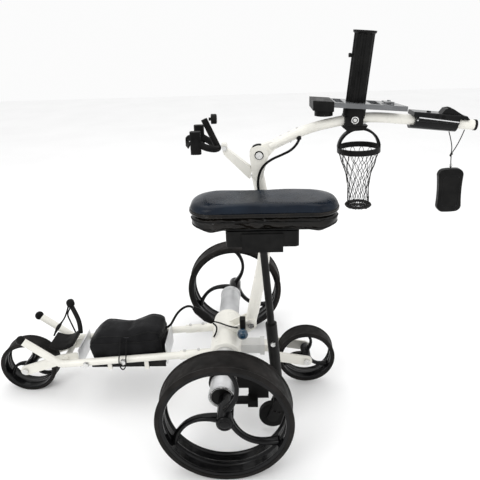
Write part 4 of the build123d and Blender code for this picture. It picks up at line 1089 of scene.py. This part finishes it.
net_verts, net_faces = [], []
half_cell = math.pi / NET_THREADS
for thread in range(NET_THREADS):
    for way in (-1, 1):
        path = []
        for step in range(NET_ROWS * 6 + 1):
            share = step / (NET_ROWS * 6)
            slack = 0.12 * math.sin(2 * math.pi * share * NET_ROWS) * half_cell
            path.append(on_net(2 * half_cell * thread + way * (half_cell * share * NET_ROWS + slack), share))
        piping(net_verts, net_faces, path, 0.00075, closed=False, sides=6)
for row in range(NET_ROWS + 1):
    for thread in range(NET_THREADS):
        angle = half_cell * (2 * thread + row)
        knot = on_net(angle, row / NET_ROWS)
        up = net_up * 0.0016
        wrap = [knot + up, knot + up * 0.4, knot - up * 0.4, knot - up]
        piping(net_verts, net_faces, wrap, 0.0013, False, 6)
foot = mouth_at - net_up * (NET_DROP + NET_LENGTH)
for radius, bead in ((0.0315, 0.0026), (0.0270, 0.0022), (0.0225, 0.0018)):
    ring = []
    for step in range(96):
        turn = 2 * math.pi * step / 96
        wobble = 1 + 0.03 * noise.noise(Vector((turn * 5, radius * 900, 2.0)))
        ring.append(foot + (net_side * math.cos(turn) + net_deep * math.sin(turn)) * (radius * wobble))
    piping(net_verts, net_faces, ring, bead)
for tuft in range(26):
    turn = 2 * math.pi * tuft / 26 + 0.3 * noise.noise(Vector((tuft * 1.7, 0, 0)))
    out = net_side * math.cos(turn) + net_deep * math.sin(turn)
    reach = 0.004 + 0.004 * abs(noise.noise(Vector((tuft * 3.1, 1.0, 0))))
    start = foot + out * 0.029
    loose_end = [start, start - net_up * reach * 0.6 + out * 0.002, start - net_up * reach]
    piping(net_verts, net_faces, loose_end, 0.0011, False, 5)
for step in range(9):
    turn = math.pi * step / 9
    across = (net_side * math.cos(turn) + net_deep * math.sin(turn)) * 0.031
    piping(net_verts, net_faces, [foot - across, foot - net_up * 0.001, foot + across], 0.0012, False, 6)
net = keep("knotted_net", net_verts, net_faces, 60.0)
finish_piece(net, "handle", slot_of["ball_net"], finishes["net_cord"], "ball_net")
print("net vertices", len(net_verts))

# %% [markdown]
# ## Fittings on the handle
# The umbrella tube is drawn with fine ribs, so it gets a fluted tube of its own. The control
# box gets its bright inlay and small buttons, and the clamp its polished bolt. They are
# separate small pieces laid on the drawn parts, because their edges are what catches light.

# %% Fluted umbrella tube
bore = next(mount for mount in frame["record"]["mounts"] if mount["name"] == "umbrella_bore")
tube_up = Vector(bore["axis"]).normalized()
tube_side = tube_up.cross(Vector((0, 1, 0))).normalized()
tube_deep = tube_side.cross(tube_up)
bore_length = bore["dims"]["length_mm"] / 1000
bore_radius = bore["dims"]["r_mm"] / 1000
tube_foot = Vector(bore["pos_m"]) - tube_up * (bore_length / 2)
FLUTES, FLUTE_STEPS = 11, 176
tube_verts = []
stations = (
    (0.0, 0.0226, 0.0012), (0.0006, 0.0228, 0.0012), (bore_length - 0.0085, 0.0228, 0.0012),
    (bore_length - 0.0070, 0.0246, 0.0), (bore_length - 0.0045, 0.0272, 0.0),
    (bore_length - 0.0008, 0.0275, 0.0), (bore_length, 0.0268, 0.0),
    (bore_length, bore_radius + 0.0008, 0.0), (bore_length - 0.0008, bore_radius, 0.0),
    (0.0, bore_radius, 0.0),
)
for height, radius, flute in stations:
    for step in range(FLUTE_STEPS):
        turn = 2 * math.pi * step / FLUTE_STEPS
        crest = max(-1.0, min(1.0, 2.2 * math.cos(turn * FLUTES)))
        out = radius + flute * crest
        across = tube_side * (out * math.cos(turn)) + tube_deep * (out * math.sin(turn))
        tube_verts.append(tube_foot + tube_up * height + across)
umbrella = keep("fluted_umbrella_tube", tube_verts, ring_faces(len(stations), FLUTE_STEPS, closed=True), 28.0)
finish_piece(umbrella, "handle", slot_of["umbrella_tube"], finishes["black_plastic"], "umbrella_tube")
print("umbrella tube", round(bore_length, 4), "long")

# %% Inlay, buttons and polished bolt
GRIP_START = Vector((0.350, 0.0, 0.7975))
GRIP_END = Vector((0.622, 0.0, 0.7680))
grip_along = (GRIP_END - GRIP_START).normalized()
grip_up = Vector((-grip_along.z, 0.0, grip_along.x))


def beside_grip(x, rise, y=0.0):
    """A point beside the grip: x along it, and rise above its centre line."""
    base = GRIP_START + grip_along * ((x - GRIP_START.x) / grip_along.x)
    return base + grip_up * rise + Vector((0, y, 0))


def stud(verts, faces, place, out, radius, proud, sides=20):
    """Adds a small domed stud that stands on a surface."""
    stations = ((-0.0006, 1.0), (proud * 0.45, 1.0), (proud * 0.8, 0.86), (proud, 0.5))
    wide = out.orthogonal().normalized()
    deep = out.cross(wide)
    ring_verts = []
    for height, share in stations:
        for step in range(sides):
            turn = 2 * math.pi * step / sides
            sideways = (wide * math.cos(turn) + deep * math.sin(turn)) * (radius * share)
            ring_verts.append(place + out * height + sideways)
    add_to(verts, faces, ring_verts, ring_faces(len(stations), sides))


def ring_at(verts, faces, place, out, radius, bead, sides=48):
    """Adds a round bead in a circle about an axis."""
    wide = out.orthogonal().normalized()
    deep = out.cross(wide)
    path = []
    for step in range(sides):
        turn = 2 * math.pi * step / sides
        path.append(place + (wide * math.cos(turn) + deep * math.sin(turn)) * radius)
    piping(verts, faces, path, bead)


near = Vector((0, -1, 0))
far = Vector((0, 1, 0))
box_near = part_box("control_box")[0].y
inlay_verts, inlay_faces = [], []
for side, direction in ((box_near, near), (-box_near, far)):
    places = ((0.4795, 0.0104), (0.520, 0.0088), (0.5767, 0.0065))
    inlay_line = line_points([beside_grip(along, rise, side) for along, rise in places])
    add_to(inlay_verts, inlay_faces, *swept(inlay_line, [(0.0013, 0.0007)] * len(inlay_line), 12, 0.7))
stud(inlay_verts, inlay_faces, beside_grip(0.4775, 0.0033, box_near), near, 0.0017, 0.001)
inlay = keep("control_box_inlay", inlay_verts, inlay_faces, 40.0)
finish_piece(inlay, "handle", "bare_aluminium", finishes["bare_aluminium"])

button_verts, button_faces = [], []
for x in (0.5216, 0.5371):
    stud(button_verts, button_faces, beside_grip(x, 0.016, box_near), near, 0.0034, 0.0009)
    ring_at(button_verts, button_faces, beside_grip(x, 0.016, box_near), near, 0.0043, 0.0005)
buttons = keep("control_box_buttons", button_verts, button_faces, 40.0)
finish_piece(buttons, "handle", "black_rubber", finishes["black_rubber"])

bolt_verts, bolt_faces = [], []
bolt_place = Vector((0.326, -0.0280, 0.792))
stud(bolt_verts, bolt_faces, bolt_place, near, 0.0048, 0.0026, 24)
ring_at(bolt_verts, bolt_faces, bolt_place, near, 0.0078, 0.0016)
clamp_bolt = keep("clamp_bolt", bolt_verts, bolt_faces, 40.0)
finish_piece(clamp_bolt, "handle", "bright_steel", finishes["bright_steel"])
print("control box and clamp details made")

# %% Hinge seal, painted shadow rings and small screws
hinge_at = Vector(joints["handle_fold"]["pos_m"])
seal_path = []
for step in range(25):
    turn = math.radians(76 + 54 * step / 24)
    seal_path.append(hinge_at + Vector((math.cos(turn), 0, math.sin(turn))) * 0.0232)
seal = keep("hinge_seal", *swept(seal_path, [(0.0024, 0.0088)] * 25, 20, 0.4), 60.0)
finish_piece(seal, "handle", "black_rubber", finishes["black_rubber"])

# The two black rings round the hinge bolt are painted shadow: they stand in for the shade inside the bolt's
# recess.
ring_verts, ring_faces_list = [], []
for out in (near, far):
    ring_at(ring_verts, ring_faces_list, hinge_at + out * 0.0158, out, 0.0102, 0.0012)
hinge_shadow_rings = keep("hinge_shadow_rings", ring_verts, ring_faces_list, 60.0)
finish_piece(hinge_shadow_rings, "mast", "black_rubber", finishes["black_rubber"])

screw_verts, screw_faces = [], []
tube_along = Vector((0.094, 0, 0.044)).normalized()
tube_over = Vector((-tube_along.z, 0, tube_along.x))
tube_start = Vector((0.121, 0, 0.727))
for distance in (0.036, 0.058, 0.080):
    screw_at = tube_start + tube_along * distance + tube_over * 0.0124
    stud(screw_verts, screw_faces, screw_at, tube_over, 0.0024, 0.0022, 14)
screw_at = tube_start + tube_along * 0.052 - tube_over * 0.0124
stud(screw_verts, screw_faces, screw_at, -tube_over, 0.0024, 0.0024, 14)
screws = keep("handle_screws", screw_verts, screw_faces, 40.0)
finish_piece(screws, "handle", "bright_steel", finishes["bright_steel"])
print("hinge details made")

# %% [markdown]
# ## The remote and its cord
# The remote's face has a shallow panel with a screw in each corner. Above it, a knot gathers
# the two strands, and a small steel clip joins the lower strand to the case.

# %% Remote face, knot and clip
remote_low, remote_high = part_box("remote_case")
face_centre = (remote_low + remote_high) / 2
face_half = (remote_high - remote_low) / 2
panel = rounded_outline(Vector((-face_half.x + 0.011, -face_half.z + 0.014, 0)),
                        Vector((face_half.x - 0.011, face_half.z - 0.016, 0)), 0.012, 10)
panel_verts, panel_faces = [], []
panel_path = [Vector((face_centre.x + x, remote_low.y, face_centre.z + z)) for x, z in panel]
dense = []
for here, there in zip(panel_path, panel_path[1:] + panel_path[:1]):
    dense += [here.lerp(there, step / 4) for step in range(4)]
piping(panel_verts, panel_faces, dense, 0.0007)
for x in (-1, 1):
    for z in (-1, 1):
        out_x, out_z = x * (face_half.x - 0.0155), z * (face_half.z - 0.020)
        place = Vector((face_centre.x + out_x, remote_low.y, face_centre.z + out_z))
        stud(panel_verts, panel_faces, place, near, 0.0022, 0.0009, 16)
remote_panel = keep("remote_panel_and_screws", panel_verts, panel_faces, 40.0)
finish_piece(remote_panel, "remote", slot_of["remote_case"], finishes["gloss_black"])

knot_at = Vector((0.5764, 0.0, 0.6945))
knot_path, knot_sections = [], []
for step in range(13):
    share = step / 12
    wander = Vector((0.001 * math.sin(share * 6), 0.0004 * math.cos(share * 9), 0.006 - 0.012 * share))
    knot_path.append(knot_at + wander)
    half = 0.0012 + 0.0019 * math.sin(math.pi * share) * (1 + 0.25 * math.sin(share * 19))
    knot_sections.append((half, half * 0.85))
knot = keep("lanyard_knot", *swept(knot_path, knot_sections, 14), 60.0)
finish_piece(knot, "remote", slot_of["lanyard"], finishes["net_cord"])

clip_verts, clip_faces = [], []
clip_path = []
for step in range(32):
    turn = 2 * math.pi * step / 32
    clip_path.append(Vector((0.5787 + 0.0030 * math.sin(turn), 0.0, 0.6655 + 0.0052 * math.cos(turn))))
piping(clip_verts, clip_faces, clip_path, 0.0008)
clip = keep("lanyard_clip", clip_verts, clip_faces, 60.0)
finish_piece(clip, "remote", "bright_steel", finishes["bright_steel"])
for strand in (front_strand, rear_strand):
    strand.data.materials.append(finishes["net_cord"])
print("remote hung")

# %% [markdown]
# ## Motor ends
# Each motor tube ends in a machined face with a bright ring and six small screws.

# %% Ring and screws on each motor face
tubes_low, tubes_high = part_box("motor_tubes")
motor_centre = (tubes_low + tubes_high) / 2
for name, out, y in (("near", near, tubes_low.y), ("far", far, tubes_high.y)):
    face_verts, face_faces = [], []
    face_at = Vector((motor_centre.x, y, motor_centre.z))
    ring_at(face_verts, face_faces, face_at, out, 0.0303, 0.0012, 72)
    ring_at(face_verts, face_faces, face_at, out, 0.0262, 0.0006, 72)
    for step in range(6):
        turn = 2 * math.pi * (step + 0.5) / 6
        place = face_at + Vector((math.cos(turn), 0, math.sin(turn))) * 0.0285
        stud(face_verts, face_faces, place, out, 0.0019, 0.0012, 12)
    face_ring = keep("motor_face_" + name, face_verts, face_faces, 40.0)
    finish_piece(face_ring, "chassis", "bright_steel", finishes["bright_steel"])
print("motor faces made")

# %% [markdown]
# ## The studio
# The floor is a wide sheet of pale paper. The world behind it is just as bright, so the line
# where the paper ends can't be seen. The world also fills the shadows, and a big lamp above
# and to the front draws the long highlights on the black plastic.

# %% Floor and lamps
FLOOR_SIZE = 14.0
corner = FLOOR_SIZE / 2
floor_mesh = bpy.data.meshes.new("studio_floor")
floor_corners = [(-corner, -corner, 0), (corner, -corner, 0), (corner, corner, 0), (-corner, corner, 0)]
floor_mesh.from_pydata(floor_corners, [], [(0, 1, 2, 3)])
floor = bpy.data.objects.new("studio_floor", floor_mesh)
bpy.context.scene.collection.objects.link(floor)
paper = Finish("studio_paper", 0.9)
paper.colour(paper.noise(2.0), (0.93, 0.93, 0.93), (0.96, 0.96, 0.96))
floor_mesh.materials.append(paper.material)

world = bpy.data.worlds.new("studio_world")
world.use_nodes = True
world.node_tree.nodes["Background"].inputs["Color"].default_value = (1.0, 1.0, 1.0, 1.0)
world.node_tree.nodes["Background"].inputs["Strength"].default_value = 0.97
bpy.context.scene.world = world


def lamp(name, place, aim, size, power):
    """A square soft lamp that faces a point."""
    light = bpy.data.lights.new(name, "AREA")
    light.size = size
    light.energy = power
    made = bpy.data.objects.new(name, light)
    made.location = place
    made.rotation_euler = (Vector(aim) - Vector(place)).to_track_quat("-Z", "Y").to_euler()
    bpy.context.scene.collection.objects.link(made)


middle = (cad_box[0] + cad_box[1]) / 2
lamp("key_lamp", (-1.6, -2.2, 2.6), middle, 1.6, 26.0)
lamp("fill_lamp", (2.4, -1.6, 1.8), middle, 2.0, 10.0)
lamp("top_lamp", (0.0, 0.6, 3.0), middle, 2.4, 20.0)
bpy.context.scene.view_settings.view_transform = "Standard"
print("studio lit")
